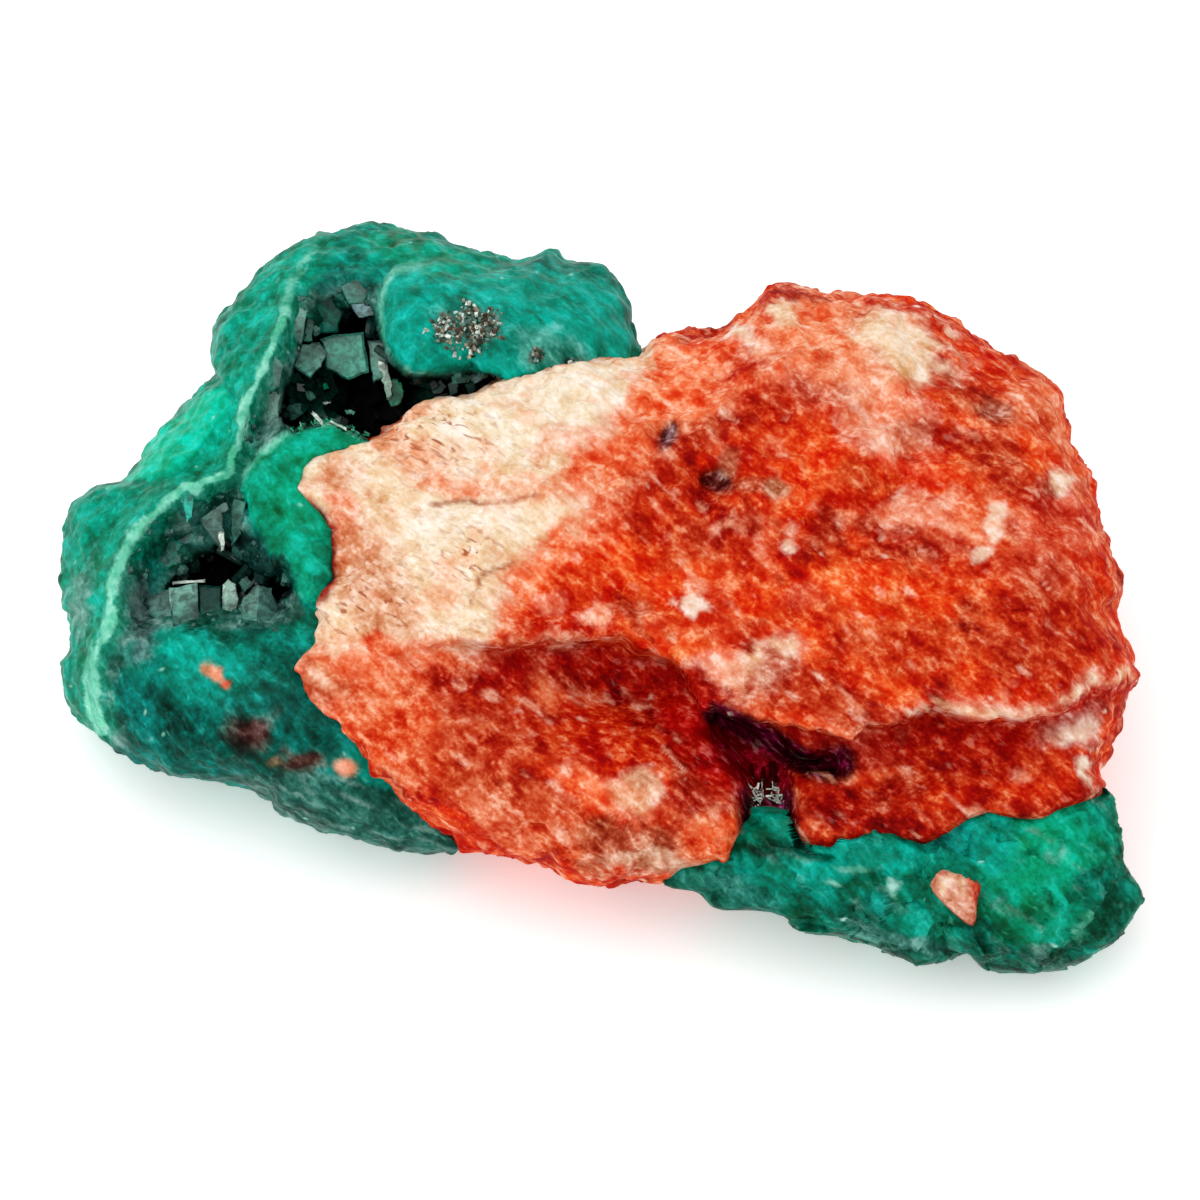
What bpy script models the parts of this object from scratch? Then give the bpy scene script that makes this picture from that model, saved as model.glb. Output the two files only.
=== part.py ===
"""Dioptase on matrix, a mineral specimen 75 mm long that lies on its flat underside.

A rock of red and cream matrix carries two masses of green dioptase: one wraps its left end and
holds two crystal-lined vugs, the other runs as a ledge along its lower right edge.

Metres, +Z up. The origin is in the resting face. The shapes are worked out in a leaning frame
that faces the display side: across is +X, up leans back, and out points to the viewer, who
looks down at VIEW_ELEVATION from VIEW_DISTANCE. Outlines are what that viewer sees, in
millimetres from the middle of the view.
"""

import math

import bmesh
import bpy
import numpy as np

MM = 0.001

# Driving dimensions
VIEW_ELEVATION = math.radians(50)
VIEW_DISTANCE = 347.0           # mm, from the viewer to the middle of the specimen
MIDDLE = (-8.1, -2.2, 11.5)     # mm, the middle of the view, from the middle of the resting face
CLEARANCE = 0.4                 # mm, between a mass and the rock it grows round
LEAN_BACK = -0.41               # mm outward for each mm up: the rim plane leans towards the foot
LEAN_SIDE = 0.10                # mm outward for each mm across: the right end is the nearer
FLATNESS = 0.45                 # height over reach, when points are spread evenly on a mass
SOFTENING = range(-24, 25, 6)   # degrees either side that the outline is averaged over
CURVE_STEPS = 5                 # points on a smooth outline for each of its knots
PROFILE_STEPS = 400             # points that a dome's profile is measured with
BUMP_POWER = 6                  # of the share of the reach: how an outline's small bumps fade inward
RELIEF_POWER = 10               # of the share of the reach: how the relief fades at the rim
GROUND_BLOCK = 200.0            # mm along each side of the block under the resting face

# Roughness: for each kind how far it stands in mm, how far across in mm, and the seed of its
# pattern. A spread is the share of it at the rim, what the front and the back add towards their
# middles, and the power of the share of the reach that this fades with.
LUMP_MEAN = 0.6
MATRIX_WAVES, MATRIX_CHIPS, MATRIX_RIPPLES = (1.1, 11, 1), (1.3, 7, 2), (0.5, 3.5, 3)
MATRIX_SPREAD = (0.25, 0.55, 1.5, 8)
LEFT_LUMPS, LEFT_WAVES = (1.1, 6, 11), (0.4, 3, 12)
LEFT_SPREAD = (0.5, 0.0, 1.7, 6)
LOWER_LUMPS, LOWER_WAVES = (1.0, 5, 21), (0.5, 2.5, 22)
LOWER_SPREAD = (0.3, 0.7, 0.7, 6)

# Colours and roughness of the materials
RED_STONE = ((0.45, 0.07, 0.03), 0.8)
PINK_STONE = ((0.7, 0.3, 0.2), 0.8)
GREEN_STONE = ((0.0, 0.25, 0.17), 0.35)
GREEN_CRYSTAL = ((0.02, 0.16, 0.12), 0.1)
DARK_CRYSTAL = ((0.03, 0.02, 0.03), 0.15)

# Triangles that each mass is thinned to, and squares along an edge of the ball it starts as
MATRIX_FACETS = 3300
LEFT_FACETS = 3000
LOWER_FACETS = 1100
CHIP_FACETS = 70
FINE_GRID = 44
LOWER_GRID = 30
CHIP_GRID = 6

# Matrix: depths in mm, in front of and behind its rim plane
MATRIX_CENTRE = (6.9, -0.7)
MATRIX_FRONT = 11.0
MATRIX_BACK = 18.0
MATRIX_LIP = 8.6                # how far its left edge stands over the dioptase
LIP_BEARINGS = (98, 116, 205, 224)      # degrees round the middle, where the lip rises and falls
MATRIX_CROWN = 4.0
MATRIX_EDGE = 0.35
MATRIX_OUTLINE = (
    (2.8, 16.8), (1.4, 16.5), (-1.7, 16.2), (-4.9, 15.7), (-7.3, 15.0), (-9.0, 14.1), (-11.1, 14.0),
    (-13.0, 13.0), (-14.1, 11.9), (-16.0, 10.9), (-18.0, 10.5), (-20.0, 9.9), (-20.6, 9.2),
    (-21.0, 7.6), (-19.6, 6.1), (-18.7, 4.9), (-18.7, 1.4), (-19.4, -0.3), (-19.6, -3.1),
    (-20.6, -4.3), (-20.5, -6.2), (-19.1, -8.0), (-16.9, -10.1), (-15.6, -11.9), (-13.5, -13.9),
    (-11.4, -15.5), (-9.7, -16.9), (-6.9, -17.7), (-3.8, -18.3), (-0.7, -19.3), (2.8, -19.4),
    (4.5, -19.6), (6.9, -19.3), (8.6, -18.9), (9.3, -17.6), (9.9, -16.2), (10.6, -15.7),
    (12.8, -15.7), (13.7, -16.2), (14.4, -17.3), (16.2, -17.8), (22.2, -17.8), (25.3, -17.1), (27.8, -16.2), (31.2, -15.7), (34.1, -14.1), (34.8, -12.8), (34.4, -11.8),
    (35.3, -9.9), (36.1, -6.7), (37.0, -4.9), (35.5, -0.8), (35.8, 0.7), (35.0, 3.5), (33.8, 8.0),
    (32.5, 10.8), (31.4, 14.4), (29.8, 15.8), (26.2, 18.1), (22.5, 20.4), (19.8, 21.0),
    (16.7, 21.0), (13.9, 21.7), (11.8, 21.7), (10.8, 20.6), (8.0, 18.7), (4.5, 18.2),
)

# The ledge across the matrix, and how deep the rock is recessed below each stretch of it
LEDGE = (
    (-20.8, -3.6), (-13.9, -3.8), (-8.3, -2.8), (-2.8, -3.5), (1.4, -3.1), (4.9, -4.7), (6.9, -6.9),
    (11.8, -8.5), (17.3, -9.9), (20.8, -8.9), (23.6, -8.0), (28.4, -8.7), (31.2, -8.0), (33.6, -6.2),
    (37.1, -5.6),
)
LEDGE_DEPTH = (
    (-20, 0.7), (-13, 0.9), (-8, 1.8), (0, 3.4), (10, 4.2), (18, 4.2), (30, 3.8), (36, 2.0),
)
LEDGE_LIP = (-0.5, 0.5)         # above the ledge, where the recess under it ends and starts
RECESS_RUN = (3, 9)             # below the ledge, where the rock swells out again, and its end
RECESS_SWELL = 0.6              # share of the recess that it swells back by
HOLLOW = ((2.1, -6.0), (5.0, 2.2), 2.4)         # middle, half sizes, depth
CAVITY_DEPTH = 6.5
CAVITY_WALL = (-0.4, 1.2)       # inward of its outline, where the wall starts and ends
CAVITY = (
    (8.0, -7.8), (11.1, -9.0), (13.9, -10.3), (16.0, -10.1), (17.1, -10.5), (17.0, -12.3),
    (14.7, -12.3), (13.7, -12.6), (13.8, -15.8), (13.6, -17.4), (9.8, -17.4), (9.8, -15.8),
    (9.8, -13.2), (8.8, -11.4), (7.6, -9.7),
)
CRACKS = (
    ((-11.8, 6.6), (-6.9, 6.9), (-4.2, 7.1)),
    ((-5.9, 2.8), (-8.3, 1.7), (-9.0, -0.3)),
)
CRACK_DEPTH = 0.6
CRACK_WIDTH = 0.5
PITS = ((4.7, 11.3, 0.9), (8.2, 8.2, 1.1), (12.1, 7.6, 0.8), (27.8, 13.2, 1.4))

# Left mass of dioptase
LEFT_CENTRE = (-18.7, 5.6)
LEFT_FRONT = 8.0
LEFT_BACK = 14.0
LEFT_CROWN = 3.4
LEFT_EDGE = 0.42
LEFT_OUTLINE = (
    (2.8, 17.3), (2.3, 19.1), (1.9, 20.6), (1.0, 22.0), (-0.2, 23.2), (-2.6, 23.4), (-3.5, 24.2),
    (-5.2, 23.6), (-6.9, 23.6), (-9.4, 24.2), (-12.1, 25.1), (-15.7, 25.7), (-19.1, 25.1),
    (-21.9, 23.9), (-24.6, 21.2), (-26.5, 19.1), (-26.9, 15.5), (-27.4, 14.1), (-28.3, 13.5),
    (-30.5, 11.4), (-32.6, 8.5), (-35.0, 7.8), (-36.8, 5.6), (-37.1, 0.0), (-36.6, -1.0),
    (-36.7, -3.5), (-37.3, -4.6), (-36.4, -7.6), (-34.6, -9.6), (-31.9, -11.4), (-29.5, -12.2),
    (-25.7, -12.4), (-23.0, -13.5), (-22.1, -14.6), (-17.7, -16.2), (-11.8, -17.1), (-9.7, -16.9),
    (-9.0, -13.2), (-10.4, -6.9), (-11.1, -1.4), (-10.1, 4.2), (-6.9, 9.0), (-2.1, 13.2),
    (1.7, 15.8),
)
BAND = (
    (-19.8, 24.6), (-21.5, 21.5), (-22.2, 18.7), (-23.5, 16.0), (-24.6, 13.2), (-25.3, 10.4),
    (-26.0, 8.7), (-29.8, 7.3), (-32.3, 4.9), (-33.6, 2.1), (-34.0, -1.4), (-35.0, -3.5),
    (-35.4, -6.2), (-34.7, -9.0),
)
BALL = (
    (-14.4, 23.0), (-11.1, 23.5), (-6.9, 23.0), (-2.8, 23.0), (0.0, 22.5), (1.5, 20.8), (2.2, 18.4),
    (2.2, 15.8), (-2.8, 14.0), (-7.3, 14.3), (-9.0, 16.2), (-11.1, 15.5), (-13.0, 15.4),
    (-14.2, 16.3), (-15.1, 17.7), (-15.4, 20.1), (-15.1, 21.9),
)
MIDDLE_LOBE = (
    (-24.6, 9.0), (-23.5, 10.3), (-21.9, 11.6), (-20.5, 12.2), (-18.4, 12.5), (-16.3, 11.4),
    (-13.9, 10.4), (-15.3, 5.6), (-17.3, 0.0), (-20.5, -0.3), (-22.9, 2.8), (-24.3, 5.6),
    (-25.0, 7.6),
)
BAND_HEIGHT = 1.0
BAND_WIDTH = 0.8
BALL_HEIGHT = 3.0
MIDDLE_LOBE_HEIGHT = 1.6
LOBE_SHOULDER = 3.5             # from a lobe's edge to where its top is level
LOWER_LOBE = ((-25.5, -7.0), (8.5, 5.0), 1.3)   # middle, half sizes, height
UPPER_BASIN = (
    (-20.8, 21.6), (-18.0, 22.0), (-14.9, 21.8), (-15.4, 20.8), (-15.4, 17.7), (-13.9, 15.7),
    (-9.0, 16.1), (-6.9, 15.8), (-6.2, 14.2), (-11.1, 12.8), (-13.9, 11.1), (-16.3, 11.3),
    (-18.7, 12.5), (-21.9, 11.6), (-24.6, 9.2), (-25.0, 11.1), (-23.9, 13.9), (-22.5, 17.3),
    (-21.5, 20.0),
)
LOWER_BASIN = (
    (-31.2, 5.6), (-28.4, 6.9), (-25.7, 8.3), (-24.8, 8.3), (-24.6, 5.6), (-23.0, 2.8), (-20.8, 1.0),
    (-20.5, -1.0), (-22.5, -2.4), (-26.0, -2.1), (-29.8, -2.2), (-33.0, -2.8), (-33.3, 0.0),
    (-32.7, 2.8),
)
BASIN_DEPTH = 3.0
BASIN_SLOPE = (-0.2, 2.5)       # inward of its outline, where the slope starts and ends

# Hollows: the outline of each mouth, its middle, and rings from mouth to floor. A ring is how far
# outward of the rim plane it lies, its share of the outline, and its shift across and up.
UPPER_VUG = (
    (-22.1, 18.4), (-20.8, 20.2), (-18.4, 21.0), (-15.8, 20.8), (-15.3, 18.7), (-14.7, 16.7),
    (-13.3, 15.5), (-10.4, 15.5), (-7.5, 15.8), (-5.5, 14.5), (-6.0, 12.0), (-9.8, 10.2),
    (-13.0, 9.2), (-16.3, 11.1), (-18.7, 12.3), (-21.5, 11.7), (-23.0, 11.1), (-23.5, 13.2),
    (-22.8, 16.0),
)
UPPER_VUG_MIDDLE = (-15.5, 15.0)
UPPER_VUG_RINGS = ((13.0, 1.0, 0, 0), (4.8, 1.0, 0, 0), (2.5, 1.02, 0.9, 0), (0.0, 0.9, 0.8, 0.2),
                   (-2.0, 0.6, 0.5, 0.2))
LOWER_VUG = (
    (-31.9, 1.7), (-30.5, 3.8), (-28.4, 5.2), (-26.7, 6.9), (-25.0, 6.2), (-24.3, 4.2), (-23.5, 2.8),
    (-21.5, 1.7), (-20.8, 0.0), (-22.5, -1.2), (-25.3, -1.0), (-27.8, -1.5), (-31.2, -1.5),
    (-32.3, 0.0),
)
LOWER_VUG_MIDDLE = (-26.8, 1.8)
LOWER_VUG_RINGS = ((13.0, 1.0, 0, 0), (4.6, 1.0, 0, 0), (2.0, 1.0, 0.4, 0.2), (0.0, 0.85, 0.4, 0.2),
                   (-1.0, 0.6, 0.3, 0.2))
POCKET = ((10.0, -12.4), (11.7, -12.1), (13.5, -12.4), (13.6, -14.2), (12.6, -14.8), (10.9, -14.8),
          (9.9, -14.1))
POCKET_MIDDLE = (11.8, -13.5)
POCKET_RINGS = ((9.0, 1.0, 0, 0), (-0.6, 1.0, 0, 0), (-2.2, 0.85, 0, 0))

# Crystals: foot across and up, height of the tip outward of the rim plane, how the axis leans
# across and up for each mm outward, and half the width
UPPER_CRYSTALS = (
    (-20.6, 17.2, 5.2, 0.25, -0.35, 1.5), (-17.8, 17.6, 4.8, 0.1, -0.5, 1.9),
    (-15.9, 17.6, 4.4, 0.3, -0.5, 0.9), (-15.3, 15.6, 3.6, 0.5, -0.7, 0.9),
    (-19.6, 14.4, 3.2, 0.4, 0.1, 0.9), (-20.9, 13.0, 4.4, 0.4, 0.2, 1.0),
    (-18.6, 19.9, 4.6, 0.2, -0.5, 1.1), (-16.5, 19.8, 3.8, 0.0, -0.6, 1.0),
    (-22.0, 15.0, 5.0, 0.5, -0.1, 1.1), (-21.3, 19.2, 5.0, 0.4, -0.4, 1.0),
    (-10.6, 14.2, 1.8, 0.0, 0.3, 0.8), (-8.2, 14.4, 3.0, -0.2, 0.3, 1.0),
)
LOWER_CRYSTALS = (
    (-29.8, -0.4, 4.6, 0.2, 0.4, 1.5), (-25.9, -0.2, 4.0, 0.0, 0.5, 0.8),
    (-23.8, -0.2, 4.4, -0.2, 0.4, 1.2), (-27.0, 5.0, 4.0, 0.1, -0.6, 0.8),
    (-30.8, 2.4, 4.4, 0.5, -0.2, 1.0), (-29.2, 4.0, 4.4, 0.4, -0.4, 0.7),
    (-22.2, 0.6, 3.8, -0.4, 0.1, 0.8),
)
POCKET_CRYSTALS = (
    (10.8, -13.5, 2.0, 0.1, 0.1, 0.55), (12.8, -13.4, 1.9, -0.15, 0.05, 0.6),
    (11.9, -14.0, 2.3, 0.05, 0.1, 0.5),
)
CRYSTAL_ROOT = -3.0             # mm outward of the rim plane, below every lining
CRYSTAL_SHOULDERS = (1.0, 0.55) # below the tip, in half widths: the shoulders by turns
CRYSTAL_TURN = 0.7              # radians between one crystal and the next
LINING = 1.0                    # mm, thickness of the crystal crust between its crystals
LINING_TOP = (3.6, 3.2, -0.6)   # mm outward, where the crusts of the two vugs and the pocket stop

# Lower mass of dioptase, and the chip of matrix set in it
LOWER_CENTRE = (22.9, -19.8)
LOWER_RIM = 11.0
LOWER_FRONT = 3.4
LOWER_BACK = 14.0
LOWER_CROWN = 2.6
LOWER_EDGE = 0.5
LOWER_OUTLINE = (
    (4.5, -19.6), (6.7, -20.3), (8.1, -21.4), (11.4, -21.6), (13.2, -21.9), (13.8, -22.7),
    (16.3, -23.2), (18.7, -23.8), (20.8, -24.5), (22.3, -25.0), (23.9, -24.8), (25.1, -24.1),
    (26.4, -25.3), (27.8, -25.7), (31.2, -25.7), (33.3, -25.0), (35.7, -23.5), (37.3, -21.4),
    (37.5, -20.1), (36.4, -18.3), (36.1, -15.5), (35.4, -13.6), (34.6, -13.0), (33.0, -13.7),
    (31.2, -14.4), (29.1, -14.9), (27.1, -14.4), (26.0, -14.7), (24.1, -15.9), (21.6, -16.4),
    (19.8, -16.2), (17.2, -16.4), (13.7, -16.1), (9.9, -15.6), (6.9, -17.3),
)
CHIP_CENTRE = (24.7, -20.4)
CHIP_RIM = 14.2
CHIP_FRONT = 0.9
CHIP_BACK = 2.4
CHIP_EDGE = 0.5
CHIP_OUTLINE = (
    (22.8, -19.8), (23.5, -18.7), (24.8, -18.7), (26.4, -19.6), (26.2, -20.8), (25.9, -22.6),
    (24.3, -21.5),
)


def closed_curve(points):
    """Points of a smooth closed curve through an outline, by the Catmull-Rom formula."""
    knots = np.array(points, dtype=float)
    before, after = np.roll(knots, 1, axis=0), np.roll(knots, -1, axis=0)
    beyond = np.roll(knots, -2, axis=0)
    curve = []
    for t in np.arange(CURVE_STEPS) / CURVE_STEPS:
        curve.append(0.5 * (2 * knots + (after - before) * t
                            + (2 * before - 5 * knots + 4 * after - beyond) * t ** 2
                            + (3 * knots - before - 3 * after + beyond) * t ** 3))
    return np.stack(curve, axis=1).reshape(-1, 2)


def reach(outline, centre, angle):
    """Distance from the centre to the outline along each angle: a ray cut by the edge it meets."""
    curve = closed_curve(outline) - np.array(centre)
    bearing = np.unwrap(np.arctan2(curve[:, 1], curve[:, 0]))
    if bearing[-1] < bearing[0]:
        curve, bearing = curve[::-1], bearing[::-1]
    start = bearing[0]
    turned = start + np.mod(angle - start, 2 * np.pi)
    bearing = np.maximum.accumulate(bearing)
    edge = np.clip(np.searchsorted(bearing, turned, side="right") - 1, 0, len(curve) - 1)
    first, last = curve[edge], curve[(edge + 1) % len(curve)]
    ray = np.stack([np.cos(angle), np.sin(angle)], axis=1)
    side = last - first
    crossed = first[:, 0] * side[:, 1] - first[:, 1] * side[:, 0]
    return crossed / (ray[:, 0] * side[:, 1] - ray[:, 1] * side[:, 0])


def line_distance(points, across, up, closed=False):
    """Distance from each place to a line of points."""
    knots = np.array(points, dtype=float)
    ends = np.roll(knots, -1, axis=0) if closed else knots[1:]
    place = np.stack([across, up], axis=1)
    nearest = np.full(len(place), np.inf)
    for first, last in zip(knots, ends):
        side = last - first
        along = np.clip((place - first) @ side / (side @ side), 0, 1)
        gap = place - first - along[:, None] * side
        nearest = np.minimum(nearest, np.hypot(gap[:, 0], gap[:, 1]))
    return nearest


def depth_inside(outline, across, up):
    """Distance to a closed outline, more than 0 inside it and less than 0 outside."""
    knots = np.array(outline, dtype=float)
    inside = np.zeros(len(across), dtype=bool)
    for first, last in zip(knots, np.roll(knots, -1, axis=0)):
        spans = (first[1] > up) != (last[1] > up)
        crossing = first[0] + (up - first[1]) * (last[0] - first[0]) / (last[1] - first[1] + 1e-12)
        inside ^= spans & (across < crossing)
    return np.where(inside, 1, -1) * line_distance(outline, across, up, closed=True)


def swelling(place, across, up):
    """A smooth round swelling: its middle, its half sizes and its height."""
    middle, half, height = place
    return height * np.exp(-((across - middle[0]) / half[0]) ** 2 - ((up - middle[1]) / half[1]) ** 2)


def ramp(low, high, value):
    """0 below low, 1 above high, and a smooth S between."""
    t = np.clip((value - low) / (high - low), 0, 1)
    return t * t * (3 - 2 * t)


def hashed(cell, seed):
    """A fixed number from 0 to 1 for each whole-numbered cell."""
    mixed = np.sin(cell @ np.array([12.9898, 78.233, 37.719]) + seed) * 43758.5453
    return mixed - np.floor(mixed)


def waves(place, size, seed):
    """Smooth noise from -1 to 1: hashed values on a lattice, blended between its corners."""
    scaled = place / size
    cell = np.floor(scaled)
    part = scaled - cell
    part = part * part * (3 - 2 * part)
    total = np.zeros(len(place))
    for corner in np.ndindex(2, 2, 2):
        weight = np.prod(np.where(np.array(corner) == 1, part, 1 - part), axis=1)
        total += weight * hashed(cell + np.array(corner), seed)
    return 2 * total - 1


def nearest_seed(place, size, seed):
    """The nearest of points scattered one to a cell: its distance, offset and cell, in cells."""
    scaled = place / size
    cell = np.floor(scaled)
    distance = np.full(len(place), np.inf)
    offset = np.zeros_like(place)
    owner = np.zeros_like(place)
    for step in np.ndindex(3, 3, 3):
        other = cell + np.array(step) - 1
        seat = other + np.stack([hashed(other, seed + k) for k in range(3)], axis=1)
        gap = scaled - seat
        length = np.linalg.norm(gap, axis=1)
        closer = length < distance
        distance = np.where(closer, length, distance)
        offset = np.where(closer[:, None], gap, offset)
        owner = np.where(closer[:, None], other, owner)
    return distance, offset, owner


def lumps(place, size, seed):
    """Round lumps from 0 to 1, one about each scattered point."""
    distance = nearest_seed(place, size, seed)[0]
    return np.sqrt(np.maximum(0, 1 - distance ** 2))


def chips(place, size, seed):
    """Broken faces: each cell slopes its own way, with a step where two meet."""
    offset, owner = nearest_seed(place, size, seed)[1:]
    slope = np.stack([hashed(owner, seed + 5 + k) - 0.5 for k in range(3)], axis=1)
    return np.sum(offset * slope, axis=1) * 2


def even_profile(turn, crown, edge):
    """Share of the reach and of the height at each turn from pole (0) to rim (1).

    The height is (1 - reach ** crown) ** edge, and equal turns are equal lengths along it."""
    share = 1 - (1 - np.linspace(0, 1, PROFILE_STEPS)) ** 3
    height = (1 - share ** crown) ** edge
    length = np.cumsum(np.hypot(np.diff(share, prepend=0), FLATNESS * np.diff(height, prepend=1)))
    share = np.interp(turn * length[-1], length, share)
    return share, (1 - np.minimum(share, 1) ** crown) ** edge


def to_world(across, up, out):
    """Place points of the leaning frame in metres, drawn in as the viewer's perspective asks."""
    near = (VIEW_DISTANCE - out) / VIEW_DISTANCE
    x = MIDDLE[0] + across * near
    y = MIDDLE[1] + up * near * math.sin(VIEW_ELEVATION) - out * math.cos(VIEW_ELEVATION)
    z = MIDDLE[2] + up * near * math.cos(VIEW_ELEVATION) + out * math.sin(VIEW_ELEVATION)
    return np.stack([x, y, z], axis=1) * MM


def ball_grid(divisions):
    """A cube cut into squares and pushed out to a unit ball, and its points as an array."""
    ball = bmesh.new()
    bmesh.ops.create_cube(ball, size=2)
    bmesh.ops.subdivide_edges(ball, edges=ball.edges[:], cuts=divisions - 1, use_grid_fill=True)
    points = np.tan(np.array([v.co[:] for v in ball.verts]) * (np.pi / 4))
    return ball, points / np.linalg.norm(points, axis=1)[:, None]


def paint(name, colour, roughness):
    """A material with one colour and roughness."""
    material = bpy.data.materials.new(name)
    material.use_nodes = True
    shader = material.node_tree.nodes["Principled BSDF"]
    shader.inputs["Base Color"].default_value = (*colour, 1)
    shader.inputs["Roughness"].default_value = roughness
    shader.inputs["Metallic"].default_value = 0
    material.diffuse_color = (*colour, 1)
    return material


def new_object(name, mesh, material=None):
    """An object in the scene; without a material it is a cutter, which isn't part of the rock."""
    thing = bpy.data.objects.new(name, mesh)
    bpy.context.scene.collection.objects.link(thing)
    if material:
        mesh.materials.clear()
        mesh.materials.append(material)
    else:
        thing.hide_render = True
        thing.display_type = "WIRE"
    return thing


def settled(thing, name, material=None):
    """A new object with the mesh that the thing's modifiers give; the thing is removed."""
    bpy.context.view_layer.update()
    shaped = thing.evaluated_get(bpy.context.evaluated_depsgraph_get())
    mesh = bpy.data.meshes.new_from_object(shaped)
    bpy.data.objects.remove(thing)
    mesh.name = name
    return new_object(name, mesh, material)


def carved(thing, other, operation):
    """The thing after a Boolean with the other object."""
    cut = thing.modifiers.new(operation.lower(), "BOOLEAN")
    cut.operation = operation
    cut.solver = "EXACT"
    cut.use_self = True
    cut.object = other
    material = thing.data.materials[0] if thing.data.materials else None
    return settled(thing, thing.name, material)


def grown(thing, thickness, name):
    """A cutter of the thing's shape, its points moved out along their normals."""
    mesh = thing.data.copy()
    shape = bmesh.new()
    shape.from_mesh(mesh)
    shape.normal_update()
    moved = [v.co + v.normal * thickness * MM for v in shape.verts]
    for vert, place in zip(shape.verts, moved):
        vert.co = place
    shape.to_mesh(mesh)
    shape.free()
    return new_object(name, mesh)


def rock(name, shape, facets, material, divisions=FINE_GRID):
    """A closed rock: a fine ball of points placed by its shape, thinned to so many facets.

    What lies below the resting face is cut away."""
    ball, direction = ball_grid(divisions)
    placed = shape(direction)
    for vert, place in zip(ball.verts, placed):
        vert.co = place
    bmesh.ops.triangulate(ball, faces=ball.faces[:])
    count = len(ball.faces)
    mesh = bpy.data.meshes.new(name)
    ball.to_mesh(mesh)
    ball.free()
    thing = new_object(name, mesh, material)
    thin = thing.modifiers.new("thin", "DECIMATE")
    thin.ratio = facets / count
    thing = settled(thing, name, material)
    return only_body(carved(thing, ground(), "DIFFERENCE"))


def ground():
    """A block whose top is the plane that the specimen rests on."""
    block = bmesh.new()
    bmesh.ops.create_cube(block, size=GROUND_BLOCK * MM)
    bmesh.ops.translate(block, verts=block.verts, vec=(0, 0, -GROUND_BLOCK / 2 * MM))
    mesh = bpy.data.meshes.new("ground")
    block.to_mesh(mesh)
    block.free()
    return new_object("ground", mesh)


def pillow(direction, outline, centre, rim, front, back, crown, edge, lift=None):
    """Places over an outline: front and back domes that meet at the rim.

    Gives across, up, out, the share of the reach, and where the front is. The rim lies at the
    rim depth plus lift; the front rises to front and the back falls to back from the rim depth.
    The outline's small bumps are the rim's alone, and fade towards the middle."""
    angle = np.arctan2(direction[:, 1], direction[:, 0])
    turn = np.arccos(np.clip(direction[:, 2], -1, 1)) / (np.pi / 2)
    is_front = turn <= 1
    share, height = even_profile(np.where(is_front, turn, 2 - turn), crown, edge)
    soft = np.mean([reach(outline, centre, angle + math.radians(k)) for k in SOFTENING], axis=0)
    radius = soft + (reach(outline, centre, angle) - soft) * share ** BUMP_POWER
    across = centre[0] + radius * share * np.cos(angle)
    up = centre[1] + radius * share * np.sin(angle)
    lifted = lift(angle) if lift else 0
    out = rim(across, up) + lifted * (1 - height) + np.where(is_front, front, -back) * height
    return across, up, out, share, is_front


def lean(across, up):
    """The rim plane of the specimen."""
    return LEAN_BACK * up + LEAN_SIDE * across


def roughened(place, direction, share, is_front, rough, spread):
    """Places moved outward by their roughness, spread between the rim and the middles, in metres."""
    rim, front, back, power = spread
    part = rim + np.where(is_front, front, back) * (1 - share ** power)
    return to_world(*(place + direction * (rough * part)[:, None]).T)


def kind(pattern, place, values):
    """One kind of roughness, from how far it stands, how far across it is and its seed."""
    height, size, seed = values
    return height * pattern(place, size, seed)


def matrix_shape(direction):
    """The rock of matrix: broken faces, the ledge with its recess, the cavity, cracks and pits."""
    def lip(angle):
        bearing = np.degrees(np.mod(angle, 2 * np.pi))
        risen = ramp(LIP_BEARINGS[0], LIP_BEARINGS[1], bearing)
        return MATRIX_LIP * risen * (1 - ramp(LIP_BEARINGS[2], LIP_BEARINGS[3], bearing))

    across, up, out, share, is_front = pillow(
        direction, MATRIX_OUTLINE, MATRIX_CENTRE, lean, MATRIX_FRONT, MATRIX_BACK,
        MATRIX_CROWN, MATRIX_EDGE, lip)
    inner = is_front * (1 - share ** RELIEF_POWER)
    above = up - np.interp(across, *np.transpose(LEDGE))
    recess = np.interp(across, *np.transpose(LEDGE_DEPTH))
    recess *= (1 - ramp(*LEDGE_LIP, above)) * (1 - RECESS_SWELL * ramp(*RECESS_RUN, -above))
    recess += swelling(HOLLOW, across, up)
    recess += CAVITY_DEPTH * ramp(*CAVITY_WALL, depth_inside(CAVITY, across, up))
    for crack in CRACKS:
        recess += CRACK_DEPTH * np.exp(-(line_distance(crack, across, up) / CRACK_WIDTH) ** 2)
    for pit_across, pit_up, size in PITS:
        recess += swelling(((pit_across, pit_up), (size, size), size), across, up)
    out = out - recess * inner
    place = np.stack([across, up, out], axis=1)
    rough = kind(waves, place, MATRIX_WAVES) + kind(chips, place, MATRIX_CHIPS)
    rough += kind(waves, place, MATRIX_RIPPLES)
    return roughened(place, direction, share, is_front, rough, MATRIX_SPREAD)


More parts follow.
